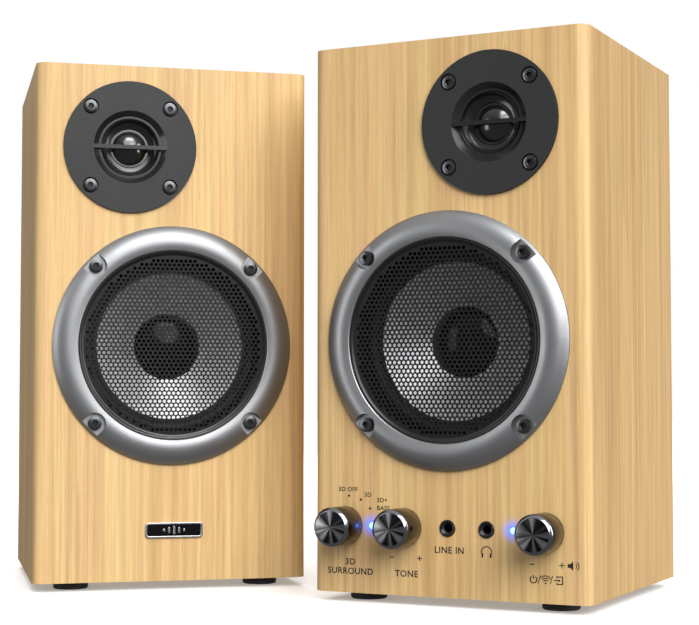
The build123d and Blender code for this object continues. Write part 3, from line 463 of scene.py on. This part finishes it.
DOME = finish("dome_lacquer", srgb(12, 12, 13), 0.18, spread=0.2, grain=0.3, bump=0.03, coat=0.4)
HOUSING = finish("control_housing", srgb(122, 124, 126), 0.35, metallic=0.8, spread=0.1, grain=0.4)
BOARD = finish("circuit_board", srgb(26, 82, 52), 0.45, spread=0.3, grain=1.4, bump=0.2, depth=0.05,
               specular=0.6)
COPPER = finish("winding_copper", srgb(170, 96, 48), 0.35, metallic=0.7, spread=0.3, grain=0.5, stretch=(1,
                1, 3))
PLASTIC = finish("black_plastic", srgb(23, 23, 24), 0.48, spread=0.15, grain=0.35, bump=0.18, depth=0.05)
GLOSS = finish("gloss_plastic", srgb(14, 14, 15), 0.22, spread=0.15, grain=0.3, bump=0.03)
REAR = finish("rear_vinyl", srgb(30, 30, 31), 0.60, spread=0.2, grain=0.55, bump=0.5, depth=0.12)
PLATE = finish("amp_plate_paint", srgb(27, 27, 28), 0.45, metallic=0.2, spread=0.18, grain=0.5, bump=0.35,
               depth=0.08)
NICKEL = finish("nickel", srgb(190, 186, 176), 0.22, metallic=1.0, spread=0.06, grain=0.5, bump=0.03)
RED = finish("red_plastic", srgb(178, 22, 20), 0.35, spread=0.12, grain=0.3, bump=0.06)
WHITE = finish("white_plastic", srgb(214, 212, 206), 0.4, spread=0.05, grain=0.3, bump=0.06)
FILM = finish("capacitor_film", srgb(196, 150, 40), 0.3, spread=0.15, grain=0.8)
INK = finish("printed_ink", srgb(20, 10, 6), 0.75, spread=0.15, grain=0.3, bump=0.1)
PALE_INK = finish("printed_pale_ink", srgb(205, 205, 203), 0.6, spread=0.06, grain=0.3, bump=0.1)
BADGE = finish("badge_metal", srgb(176, 177, 180), 0.26, metallic=0.95, spread=0.06, grain=0.2, bump=0.03)
BADGE_DARK = finish("badge_field", srgb(24, 24, 26), 0.22, metallic=0.8, spread=0.1, grain=0.2)
# the knob face has painted fan highlights
KNOB_FACE = spun("knob_face_painted_fans", srgb(26, 27, 29), 0.30, 0.85, painted_fan_strength=0.8)
KNOB_EDGE = spun("knob_edge", srgb(120, 122, 126), 0.16, 0.3, lines=4.0, spread=0.05)
KNOB_SIDE = spun("knob_side", srgb(84, 80, 74), 0.24, 0.5, lines=6.0, spread=0.12)


def plate_finish(name, cab):
    """Satin tweeter plate with a glossier bevel round its recess."""
    bevel_r = 19.0
    s = Shader(name, Specular_IOR_Level=0.3)
    at = s.place(cab)
    x, _, z = cab.middle("tweeter_faceplate")
    split = s.node("SeparateXYZ", Vector=at)
    flat = s.node("CombineXYZ", X=s.math("SUBTRACT", split.outputs["X"], x), Y=0.0,
                  Z=s.math("SUBTRACT", split.outputs["Z"], z))
    length = s.node("VectorMath", i0=flat.outputs[0])
    length.operation = "LENGTH"
    outside = s.span(length.outputs["Value"], bevel_r - 0.1, bevel_r + 0.1)
    grain = s.noise(at, 3.2, 2.0, 0.6)
    broad = s.noise(at, 0.05, 2.0, 0.5)
    satin = s.mix(s.span(grain, 0.3, 0.7), srgb(33, 34, 35), srgb(40, 41, 42))
    gloss = s.mix(s.span(grain, 0.3, 0.7), srgb(30, 31, 32), srgb(36, 37, 38))
    s.set(Base_Color=s.mix(outside, gloss, satin))
    rough = s.math("ADD", s.span(outside, 0, 1, 0.2, 0.5), s.span(broad, 0.3, 0.7, -0.03, 0.03))
    s.set(Roughness=s.math("ADD", rough, s.span(grain, 0.3, 0.7, -0.03, 0.03)))
    s.set(Normal=s.bump(grain, 0.12, 0.04))
    return s.material


def led_light(name):
    """Blue light of a lamp that is on."""
    s = Shader(name, Emission_Strength=5.0)
    at = s.place()
    cells = s.noise(at, 1.5, 1.0)
    s.set(Base_Color=s.mix(cells, (0.10, 0.25, 1.0), (0.3, 0.5, 1.0)))
    s.out.inputs["Emission Color"].default_value = (0.12, 0.30, 1.0, 1)
    s.set(Roughness=s.span(cells, 0.3, 0.7, 0.15, 0.25))
    return s.material


LED = led_light("led_blue")

# ---------------------------------------------------------------- CAD nodes that stay
SHARED = {
    "rear_panel": REAR, "feet": FEET, "port_tube": PLASTIC, "woofer_trim_ring": SILVER,
    "woofer_basket": BASKET, "woofer_surround": RUBBER, "woofer_spider": CLOTH, "woofer_cone": CONE,
    "woofer_dust_cap": CAP, "woofer_voice_coil": FORMER, "woofer_motor": IRON, "tweeter_dome": DOME,
    "tweeter_motor": IRON,
}
OWN = {
    "active_surround_switch": HOUSING, "active_tone_potentiometer": HOUSING, "active_volume_rotor": HOUSING,
    "active_volume_encoder": HOUSING, "active_control_board": BOARD, "active_amplifier_plate": PLATE,
    "active_amplifier_board": BOARD, "active_power_transformer": COPPER, "active_power_inlet": PLASTIC,
    "active_power_rocker": GLOSS, "passive_terminal_cup": PLASTIC, "passive_terminal_lever_red": RED,
    "passive_terminal_lever_black": GLOSS, "passive_tweeter_capacitor": FILM,
}


def dress(name, material):
    for slot in cad[name].material_slots:
        slot.material = material


for cab in BOTH:
    for name, material in SHARED.items():
        dress(f"{cab.prefix}_{name}", material)
    for name in ("front_board", "side_panels", "end_panels"):
        dress(f"{cab.prefix}_{name}", OAK[cab.prefix])
    dress(f"{cab.prefix}_tweeter_faceplate", plate_finish(f"{cab.prefix}_tweeter_plate", cab))
for name, material in OWN.items():
    dress(name, material)


# ---------------------------------------------------------------- perforated guard
def guard(cab):
    """Pressed guard: a flat face with hex-packed round holes, a domed lip and a skirt."""
    low, high = cab.box("woofer_grille")
    x, z = (low[0] + high[0]) / 2, (low[2] + high[2]) / 2
    outer = (high[0] - low[0]) / 2
    lip_w, foot_w = -low[1], -high[1]
    lip_rise, lip_width, sheet = 0.9, 2.4, 0.5
    flat_w, flat_r = lip_w - lip_rise, outer - lip_width
    pitch, hole_r, sides = 2.4, 0.9, 10
    reach = flat_r - 0.12
    row = pitch * math.sqrt(3) / 2
    holes = []
    for j in range(-int(reach / row) - 1, int(reach / row) + 2):
        for i in range(-int(reach / pitch) - 1, int(reach / pitch) + 2):
            u, v = (i + (j % 2) / 2) * pitch, j * row
            if math.hypot(u, v) + hole_r < reach:
                holes.append(circle(hole_r, (u, v), sides, turn=TAU / 4))
    bm = bmesh.new()
    add_plate(bm, circle(flat_r, steps=144), flat_w - sheet, flat_w, holes=holes)
    lip = [
        (flat_r, flat_w - sheet), (flat_r, flat_w), (flat_r + 0.5, flat_w + 0.12),
        (flat_r + 1.0, flat_w + 0.5), (flat_r + 1.4, flat_w + 0.8), (flat_r + 1.8, lip_w),
        (outer - 0.25, lip_w), (outer, lip_w - 0.25),
        (outer, foot_w), (outer - 0.8, foot_w), (outer - 0.8, flat_w - sheet - 0.3),
    ]
    add_lathe(bm, lip, segments=144, zones=[1] * len(lip))
    piece(f"{cab.prefix}_guard", bm, [GUARD, LIP], cab.face(x, 0, z), cab.body,
          stands_for=[f"{cab.prefix}_woofer_grille"])


# ---------------------------------------------------------------- screws
def add_screw(bm, at, head_r, head_w, head_h, shank_r, end_w):
    """A socket-head screw with an eased head and a hexagon socket; head_w is the top of its head."""
    socket, depth, edge = 2.8, 1.2, 0.35
    wall = hexagon(socket)
    profile = [
        (0, head_w - depth), (wall, head_w - depth), (wall, head_w - 0.12), (hexagon(socket + 0.24), head_w),
        (head_r - edge, head_w), (head_r - edge * 0.3, head_w - edge * 0.3), (head_r, head_w - edge),
        (head_r, head_w - head_h), (shank_r, head_w - head_h), (shank_r, end_w + 0.8), (shank_r * 0.4, end_w),
        (0, end_w),
    ]
    add_lathe(bm, profile, at, 36, zones=[1, 1] + [0] * 9)


def screw_places(cab, name, head_r):
    """Middles of the screws at the corners of a node's box, and the box."""
    low, high = cab.box(name)
    us = (low[0] + head_r, high[0] - head_r)
    vs = (low[2] + head_r, high[2] - head_r)
    return [(u, v) for u in us for v in vs], low, high


def screws(cab, name, head_r, head_h):
    """The four screws of a driver, in one piece."""
    shank_r = 1.6
    places, low, high = screw_places(cab, name, head_r)
    bm = bmesh.new()
    for at in places:
        add_screw(bm, at, head_r, -low[1], head_h, shank_r, -high[1])
    piece(f"{cab.prefix}_{name}_detail", bm, [SCREW, SOCKET], cab.face(0, 0, 0), cab.body,
          stands_for=[f"{cab.prefix}_{name}"])


def horn(cab):
    """Smooth glossy bowl of the tweeter's horn, seated in the plate."""
    x, _, z = cab.middle("tweeter_faceplate")
    throat_r, mouth_r = 10.35, 15.17
    inner = [
        (throat_r, -4.98), (11.0, -4.83), (11.8, -4.6), (12.6, -4.25), (13.3, -3.78), (13.9, -3.2),
        (14.4, -2.5), (14.75, -1.9), (14.95, -1.42), (15.08, -1.36),
    ]
    seat = [(mouth_r, -1.42), (mouth_r, -3.46), (throat_r, -5.06)]
    bm = bmesh.new()
    add_lathe(bm, inner + seat, segments=96)
    piece(f"{cab.prefix}_tweeter_horn", bm, [GLOSS], cab.face(x, 0, z), cab.body)


for cab in BOTH:
    guard(cab)
    horn(cab)
    screws(cab, "woofer_screws", head_r=3.5, head_h=1.8)
    screws(cab, "tweeter_screws", head_r=3.4, head_h=1.8)


# ---------------------------------------------------------------- knobs
def knob(name):
    """Machined knob: black spun face, polished chamfer, gunmetal side, and its shaft."""
    low, high = ACTIVE.box(name)
    x, z = (low[0] + high[0]) / 2, (low[2] + high[2]) / 2
    top, end, r = -low[1], -high[1], (high[0] - low[0]) / 2
    back, shaft_r = 2.0, 3.0
    profile = [
        (0, top), (r - 1.55, top), (r - 1.42, top - 0.03), (r - 1.3, top - 0.12), (r - 0.12, top - 1.15),
        (r, top - 1.4), (r, back + 0.5), (r - 0.15, back + 0.15), (r - 0.5, back), (shaft_r, back),
        (shaft_r, end + 0.4), (shaft_r - 0.4, end), (0, end),
    ]
    bm = bmesh.new()
    add_lathe(bm, profile, segments=128, zones=[0] + [1] * 4 + [2] * 7)
    piece(f"{name}_detail", bm, [KNOB_FACE, KNOB_EDGE, KNOB_SIDE], ACTIVE.face(x, 0, z), name,
          stands_for=[f"active_{name}"])


for name in ("surround_knob", "tone_knob", "volume_knob"):
    knob(name)


# ---------------------------------------------------------------- front sockets and lamps
def front_sockets():
    """Two 3.5 mm sockets: rounded bezel, stepped mouth, dark bore with a floor, and the body behind."""
    low, high = ACTIVE.box("front_jacks")
    face = -low[1]
    bm = bmesh.new()
    for x in (low[0] + JACK_BODY_R, high[0] - JACK_BODY_R):
        profile = [
            (0, -14.4), (1.8, -14.4), (1.8, -0.9), (1.95, -0.6), (2.5, -0.15), (2.7, 0.1), (3.1, face - 0.05),
            (3.4, face), (3.75, face - 0.05), (3.95, face - 0.3), (4.0, 0.0), (4.0, -12.0), (5.0, -12.0),
            (5.0, -27.0), (0, -27.0),
        ]
        add_lathe(bm, profile, (x, 0), 72, zones=[2, 2, 2, 1, 1] + [0] * 9)
    piece("front_sockets_detail", bm, [GLOSS, PLASTIC, SOCKET], ACTIVE.face(0, 0, CONTROL_Z), ACTIVE.body,
          stands_for=["active_front_jacks"])


def lamps():
    """The two indicator lamps, domed, with their flanges behind the board."""
    flange_h = 6
    bm = bmesh.new()
    back = -LED_HIGH[1]
    for x in LEDS:
        profile = [
            (0, -0.02), (0.7, -0.05), (1.2, -0.15), (1.45, -0.35), (LED_R, -0.6), (LED_R, back + flange_h),
            (LED_FLANGE_R, back + flange_h), (LED_FLANGE_R, back), (0, back),
        ]
        add_lathe(bm, profile, (x, 0), 48)
    piece("lamps_detail", bm, [LED], ACTIVE.face(0, 0, CONTROL_Z), ACTIVE.body,
          stands_for=["active_indicator_leds"])


front_sockets()
lamps()


# ---------------------------------------------------------------- badge
def badge():
    """Plain plate: silver rim, dark field and five raised bars of a generic level mark."""
    low, high = PASSIVE.box("badge")
    x, z = (low[0] + high[0]) / 2, (low[2] + high[2]) / 2
    w, h, t = high[0] - low[0], high[2] - low[2], -low[1]
    rim, bar_w, bar_pitch = 2.2, 1.1, 2.6
    bm = bmesh.new()
    hole = rounded(w - rim, h - rim, 1.1)
    add_plate(bm, rounded(w, h, 2.0), 0, t - 0.15, bevel=0.25, zone=0, holes=[hole])
    add_plate(bm, rounded(w - rim + 0.1, h - rim + 0.1, 1.1), 0, t - 0.5, zone=1)
    for i, tall in enumerate((1.6, 3.0, 4.2, 3.0, 1.6)):
        bar = rounded(bar_w, tall, 0.5, ((i - 2) * bar_pitch, 0), 4)
        add_plate(bm, bar, t - 0.6, t, bevel=0.12, zone=0)
    piece("badge_detail", bm, [BADGE, BADGE_DARK], PASSIVE.face(x, 0, z), PASSIVE.body,
          stands_for=["passive_badge"])


badge()


# ---------------------------------------------------------------- printing on the front
def text_mesh(words, height, at):
    """Flat outlines of a line of text, centred at (u, v); height is that of its capitals, in mm."""
    capitals = 0.70  # their share of the font's size
    curve = bpy.data.curves.new("words", "FONT")
    curve.body, curve.size = words, height / capitals
    curve.align_x, curve.align_y = "CENTER", "CENTER"
    curve.resolution_u = 3
    curve.offset = 0.018 * curve.size
    curve.space_character = 1.08
    holder = bpy.data.objects.new("words", curve)
    bpy.context.scene.collection.objects.link(holder)
    bpy.context.view_layer.update()
    mesh = bpy.data.meshes.new_from_object(holder.evaluated_get(bpy.context.evaluated_depsgraph_get()))
    bpy.data.objects.remove(holder)
    bpy.data.curves.remove(curve)
    xs = [v.co.x for v in mesh.vertices]
    ys = [v.co.y for v in mesh.vertices]
    shift = Vector((at[0] - (min(xs) + max(xs)) / 2, at[1] - (min(ys) + max(ys)) / 2, 0))
    mesh.transform(Matrix.Translation(shift))
    return mesh


def add_text(bm, words, height, at):
    mesh = text_mesh(words, height, at)
    mesh.transform(Matrix.Translation((0, 0, INK_T)))
    bm.from_mesh(mesh)
    bpy.data.meshes.remove(mesh)


def add_stroke(bm, points, width, closed=False):
    """A flat line of even width through (u, v) points, its corners mitred."""
    count = len(points)
    left, right = [], []
    for i, p in enumerate(points):
        p = Vector(p)
        before = Vector(points[i - 1]) if i or closed else None
        after = Vector(points[(i + 1) % count]) if i < count - 1 or closed else None
        a = (p - before).normalized() if before is not None else None
        b = (after - p).normalized() if after is not None else None
        a, b = a or b, b or a
        along = (a + b).normalized()
        across = Vector((-along.y, along.x))
        reach = width / 2 / max(0.35, across.dot(Vector((-a.y, a.x))))
        left.append(bm.verts.new((p.x + across.x * reach, p.y + across.y * reach, INK_T)))
        right.append(bm.verts.new((p.x - across.x * reach, p.y - across.y * reach, INK_T)))
    for i in range(count if closed else count - 1):
        j = (i + 1) % count
        bm.faces.new((right[i], right[j], left[j], left[i]))


def add_fill(bm, outline):
    bm.faces.new([bm.verts.new((u, v, INK_T)) for u, v in outline])


def arc(centre, radius, start, end, steps=16):
    """Points of an arc, its angles in degrees from the u axis."""
    return [
        (centre[0] + radius * math.cos(math.radians(start + (end - start) * i / steps)),
         centre[1] + radius * math.sin(math.radians(start + (end - start) * i / steps)))
        for i in range(steps + 1)
    ]


def thicken(bm):
    """Gives flat print its thickness, downwards from where it lies."""
    bmesh.ops.remove_doubles(bm, verts=bm.verts, dist=1e-5)
    bmesh.ops.recalc_face_normals(bm, faces=bm.faces)
    for f in bm.faces:
        if f.normal.z < 0:
            f.normal_flip()
    bmesh.ops.solidify(bm, geom=bm.faces, thickness=INK_T)
    bmesh.ops.recalc_face_normals(bm, faces=bm.faces)


def icon_power(bm, at, size):
    """Open ring and an upright bar."""
    add_stroke(bm, arc(at, size / 2, 125, 415, 28), 0.55)
    add_stroke(bm, [(at[0], at[1] + size * 0.62), (at[0], at[1] + size * 0.08)], 0.55)


def icon_waves(bm, at, size):
    """Three arcs over a dot, for wireless."""
    base = (at[0], at[1] - size * 0.42)
    add_fill(bm, circle(0.42, base, 16))
    for reach in (0.38, 0.66, 0.94):
        add_stroke(bm, arc(base, size * reach, 42, 138, 12), 0.45)


def icon_input(bm, at, size):
    """Arrow into an open frame."""
    x, y, h = at[0], at[1], size / 2
    left, right = x - h * 0.4, x + h * 1.2
    outline = [(left, y - h * 0.55), (left, y - h), (right, y - h), (right, y + h), (left, y + h)]
    add_stroke(bm, outline + [(left, y + h * 0.55)], 0.5)
    add_stroke(bm, [(x - h * 1.2, y), (x + h * 0.1, y)], 0.5)
    add_fill(bm, [(x + h * 0.1, y - h * 0.5), (x + h * 0.7, y), (x + h * 0.1, y + h * 0.5)])


def icon_speaker(bm, at, size):
    """Horn with two sound arcs."""
    x, y, h = at[0], at[1], size / 2
    back, neck, small, wide = x - h * 1.1, x - h * 0.6, h * 0.35, h * 0.9
    add_fill(bm, [(back, y - small), (neck, y - small), (x, y - wide), (x, y + wide), (neck, y + small),
                  (back, y + small)])
    for reach in (0.6, 1.05):
        add_stroke(bm, arc((x + h * 0.1, y), h * reach, -48, 48, 12), 0.42)


def icon_headphones(bm, at, size):
    """Headband and two cups."""
    x, y, h = at[0], at[1], size / 2
    add_stroke(bm, arc((x, y), h, -12, 192, 24), 0.5)
    for side in (-1, 1):
        cup = rounded(h * 0.34, h * 0.85, h * 0.14, (x + side * h * 0.80, y - h * 0.55), 3)
        add_fill(bm, cup)


def surround_dial(bm, middle):
    """Dots round the surround knob at its settings, and a small caption for each."""
    dial_r, dial_drop, dot_r, height = 15.5, 1.4, 0.6, 2.1
    settings = (
        (87, "3D OFF", (0.3, 17.2)), (62.5, "3D", (11.0, 14.8)), (38.5, "BASS", (19.2, 8.6)),
        (None, "3D+", (18.6, 12.4)),
    )
    for degrees, words, place in settings:
        if degrees is not None:
            a = math.radians(degrees)
            dot = (middle + dial_r * math.cos(a), CONTROL_Z - dial_drop + dial_r * math.sin(a))
            add_fill(bm, circle(dot_r, dot, 20))
        add_text(bm, words, height, (middle + place[0], CONTROL_Z + place[1]))


def minus_and_plus(bm, middle, height):
    """The marks at either end of a knob's turn."""
    line = 0.45
    add_stroke(bm, [(middle - 8.6, height), (middle - 6.0, height)], line)
    add_stroke(bm, [(middle + 5.9, height), (middle + 8.5, height)], line)
    for sign in (-1, 1):
        upright = [(middle + 7.2, height + sign * line / 2), (middle + 7.2, height + sign * 1.3)]
        add_stroke(bm, upright, line)


def printing():
    """Captions and marks on the front of the active loudspeaker, as a thin layer of ink."""
    surround, tone, volume = (ACTIVE.middle(f"{name}_knob")[0] for name in ("surround", "tone", "volume"))
    sockets = ACTIVE.box("front_jacks")
    line_x, phones_x = sockets[0][0] + JACK_BODY_R, sockets[1][0] - JACK_BODY_R
    height, symbols_v = 3.0, 10.9
    bm = bmesh.new()
    for words, place in (
        ("SURROUND", (surround + 1.5, 10.5)), ("3D", (surround + 1.5, 15.0)), ("TONE", (tone + 0.3, 10.5)),
        ("LINE IN", (line_x + 0.9, 22.5)),
    ):
        add_text(bm, words, height, place)
    surround_dial(bm, surround)
    minus_and_plus(bm, tone, 18.0)
    minus_and_plus(bm, volume, 17.8)
    icon_speaker(bm, (volume + 12.6, 17.8), 4.8)
    icon_headphones(bm, (phones_x + 0.1, 22.3), 5.2)
    icon_power(bm, (volume - 6.6, symbols_v), 3.2)
    icon_waves(bm, (volume - 0.7, symbols_v), 3.6)
    icon_input(bm, (volume + 5.4, symbols_v), 3.4)
    for x in (volume - 3.8, volume + 2.1):
        add_stroke(bm, [(x - 0.6, 9.2), (x + 0.6, 12.9)], 0.4)
    thicken(bm)
    piece("front_printing", bm, [INK], ACTIVE.face(0, 0, 0), ACTIVE.body)


printing()


# ---------------------------------------------------------------- rear of the active one
mounts = {m["name"]: m for m in frame["record"]["mounts"]}


def local(cab, point):
    """A point of the shared frame (m) in the cabinet's own frame (mm)."""
    return [c / MM for c in cab.inverse @ Vector(point)]


def phono_sockets():
    """Three phono sockets: nickel barrel and nut, coloured insulator, sprung contact, body inside."""
    low, high = ACTIVE.box("rca_jacks")
    plate_face = ACTIVE.box("amplifier_plate")[1][1]
    tip, inner = high[1] - plate_face, low[1] - plate_face
    colours = {"rca_in_left": 2, "rca_in_right": 1, "rca_speaker_out": 3}
    bm = bmesh.new()
    for name, zone in colours.items():
        x, _, z = local(ACTIVE, mounts[name]["pos_m"])
        profile = [
            (0, -8.0), (1.65, -8.0), (1.65, tip - 0.5), (1.8, tip - 0.35), (3.15, tip - 0.35),
            (3.3, tip - 0.15), (3.45, tip), (3.9, tip), (4.15, tip - 0.25), (4.15, 1.9), (4.3, 1.6),
            (5.75, 1.6), (6.0, 1.3), (6.0, 0.02), (5.5, 0.0), (5.5, inner), (0, inner),
        ]
        zones = [0, 0, 0, zone, zone, zone, 0, 0, 0, 0, zone, zone, zone, zone, 4, 4]
        add_lathe(bm, profile, (-x, z), 64, zones=zones)
    piece("phono_sockets_detail", bm, [NICKEL, RED, WHITE, GLOSS, PLASTIC],
          ACTIVE.face(0, plate_face, 0, rear=True), ACTIVE.body, stands_for=["active_rca_jacks"])


def plate_screws():
    """Six pan-head screws with hexagon sockets round the amplifier plate."""
    low, high = ACTIVE.box("amplifier_plate_screws")
    head_r, shank_r, wall = 2.9, 1.4, hexagon(2.0)
    top = high[1]
    end = low[1] - top
    profile = [
        (0, -0.9), (wall, -0.9), (wall, -0.1), (hexagon(2.2), 0), (1.9, -0.02), (2.45, -0.2), (2.8, -0.6),
        (head_r, -1.1), (head_r, -1.5), (shank_r, -1.5), (shank_r, end + 0.8), (0.4, end), (0, end),
    ]
    bm = bmesh.new()
    for u in (low[0] + head_r, high[0] - head_r):
        for v in (low[2] + head_r, (low[2] + high[2]) / 2, high[2] - head_r):
            add_lathe(bm, profile, (-u, v), 36, zones=[1, 1] + [0] * 10)
    piece("plate_screws_detail", bm, [SCREW, SOCKET], ACTIVE.face(0, top, 0, rear=True), ACTIVE.body,
          stands_for=["active_amplifier_plate_screws"])


def rear_printing():
    """Captions and a border line on the amplifier plate."""
    low, high = ACTIVE.box("amplifier_plate")
    caption, above, line = 2.6, 10.5, 0.35
    jacks = {name: local(ACTIVE, mounts[name]["pos_m"]) for name in mounts if name.startswith("rca")}
    z = jacks["rca_in_left"][2]
    middle = -(jacks["rca_in_left"][0] + jacks["rca_in_right"][0]) / 2
    bm = bmesh.new()
    for name, words in (("rca_in_left", "L"), ("rca_in_right", "R"), ("rca_speaker_out", "L SPEAKER")):
        add_text(bm, words, caption, (-jacks[name][0], z - above))
    add_text(bm, "LINE IN", caption, (middle, z + above))
    add_text(bm, "OUTPUT", caption, (-jacks["rca_speaker_out"][0], z + above))
    for side in (-1, 1):
        corner = middle + side * 17
        add_stroke(bm, [(middle + side * 9.5, z + above), (corner, z + above), (corner, z + 4)], line)
    inlet_low, inlet_high = ACTIVE.box("power_inlet")
    u = -(inlet_low[0] + inlet_high[0]) / 2
    add_text(bm, "ON", 2.3, (u + 18.5, inlet_high[2] - 9.5))
    add_text(bm, "OFF", 2.3, (u + 19.0, inlet_high[2] - 18.0))
    w, h = high[0] - low[0], high[2] - low[2]
    border = rounded(w - 11.5, h - 4.5, 2.0, (-(low[0] + high[0]) / 2, (low[2] + high[2]) / 2))
    add_stroke(bm, border, line, closed=True)
    thicken(bm)
    piece("rear_printing", bm, [PALE_INK], ACTIVE.face(0, high[1], 0, rear=True), ACTIVE.body)


def terminal_printing():
    """Polarity marks and a caption on the terminal cup."""
    low, high = PASSIVE.box("terminal_cup")
    middle, line = (low[2] + high[2]) / 2, 0.7
    v = middle + 19.5
    bm = bmesh.new()
    for lever in ("terminal_lever_black", "terminal_lever_red"):
        u = -PASSIVE.middle(lever)[0]
        add_stroke(bm, [(u - 2.2, v), (u + 2.2, v)], line)
        if lever == "terminal_lever_red":
            for sign in (-1, 1):
                add_stroke(bm, [(u, v + sign * line / 2), (u, v + sign * 2.2)], line)
    add_text(bm, "INPUT", 2.8, (0, middle - 20.0))
    thicken(bm)
    piece("terminal_printing", bm, [PALE_INK], PASSIVE.face(0, high[1], 0, rear=True), PASSIVE.body)


phono_sockets()
plate_screws()
rear_printing()
terminal_printing()

# ---------------------------------------------------------------- stage, light and camera
floor_mesh = bpy.data.meshes.new("floor")
bm = bmesh.new()
bmesh.ops.create_grid(bm, x_segments=1, y_segments=1, size=6.0)
bm.to_mesh(floor_mesh)
bm.free()
s = Shader("floor_pale", Roughness=0.6, Specular_IOR_Level=0.2)
s.set(Base_Color=s.mix(s.noise(s.place(), 0.004, 2.0), (0.90, 0.90, 0.90), (0.93, 0.93, 0.93)))
s.out.inputs["Emission Color"].default_value = (1, 1, 1, 1)
s.out.inputs["Emission Strength"].default_value = 0.25
floor_mesh.materials.append(s.material)
floor = bpy.data.objects.new("floor", floor_mesh)
floor.location.z = cad_box[0][2]
bpy.context.scene.collection.objects.link(floor)
floor.visible_diffuse = floor.visible_glossy = False


def area(name, at, target, size, power):
    """White soft box that faces a target."""
    light = bpy.data.lights.new(name, "AREA")
    light.shape, light.size, light.size_y = "RECTANGLE", size[0], size[1]
    light.energy = power
    obj = bpy.data.objects.new(name, light)
    obj.location = at
    obj.rotation_euler = (Vector(target) - Vector(at)).to_track_quat("-Z", "Y").to_euler()
    bpy.context.scene.collection.objects.link(obj)
    return obj


PAIR_MIDDLE = (0, 0, 0.13)
area("key", (1.0, -1.45, 0.9), PAIR_MIDDLE, (0.7, 0.9), 6)
area("rear", (-0.5, 1.7, 1.0), PAIR_MIDDLE, (1.0, 0.8), 14)
# cards that show only in reflections
for name, at, size, power in (
    ("card_top", (0.50, -1.10, 1.60), (0.9, 0.45), 12),
    ("card_left", (-1.5, -0.95, 0.35), (0.5, 1.2), 9),
    ("card_right", (1.5, -0.6, 0.5), (0.5, 1.0), 18),
):
    area(name, at, PAIR_MIDDLE, size, power).visible_diffuse = False

sun_data = bpy.data.lights.new("window", "SUN")
sun_data.energy, sun_data.angle = 3.1, math.radians(50)
sun = bpy.data.objects.new("window", sun_data)
sun.rotation_euler = Vector((0.447, -0.88, 0.65)).to_track_quat("Z", "Y").to_euler()
bpy.context.scene.collection.objects.link(sun)

# the camera sees plain white; the pair is lit by a dim sky that is lighter overhead
world = bpy.data.worlds.new("studio")
world.use_nodes = True
sky = world.node_tree
background = sky.nodes["Background"]
background.inputs["Color"].default_value = (1, 1, 1, 1)
background.inputs["Strength"].default_value = 1.0
dim = sky.nodes.new("ShaderNodeBackground")
towards = sky.nodes.new("ShaderNodeTexCoord")
height = sky.nodes.new("ShaderNodeSeparateXYZ")
shade = sky.nodes.new("ShaderNodeValToRGB")
rise = sky.nodes.new("ShaderNodeMapRange")
rise.inputs["From Min"].default_value, rise.inputs["From Max"].default_value = -1.0, 1.0
for element, (at, grey) in zip(
    [shade.color_ramp.elements[0], shade.color_ramp.elements[1], shade.color_ramp.elements.new(0.6)],
    ((0.35, 0.24), (1.0, 0.60), (0.62, 0.28)),
):
    element.position, element.color = at, (grey, grey, grey, 1)
sky.links.new(towards.outputs["Generated"], height.inputs[0])
sky.links.new(height.outputs["Z"], rise.inputs["Value"])
sky.links.new(rise.outputs[0], shade.inputs["Fac"])
sky.links.new(shade.outputs["Color"], dim.inputs["Color"])
seen = sky.nodes.new("ShaderNodeLightPath")
choose = sky.nodes.new("ShaderNodeMixShader")
sky.links.new(seen.outputs["Is Camera Ray"], choose.inputs["Fac"])
sky.links.new(dim.outputs[0], choose.inputs[1])
sky.links.new(background.outputs[0], choose.inputs[2])
sky.links.new(choose.outputs[0], sky.nodes["World Output"].inputs["Surface"])
bpy.context.scene.world = world
bpy.context.scene.view_settings.view_transform = "Standard"

camera_data = bpy.data.cameras.new("camera")
camera_data.lens, camera_data.sensor_width = 85.13, 36.0
camera = bpy.data.objects.new("camera", camera_data)
camera.location = (0.1101, -0.87376, 0.0993)
pitch = math.radians(2.92)
look = Vector((-0.1060 * math.cos(pitch), 0.9944 * math.cos(pitch), math.sin(pitch)))
camera.rotation_euler = look.to_track_quat("-Z", "Y").to_euler()
bpy.context.scene.collection.objects.link(camera)
bpy.context.scene.camera = camera
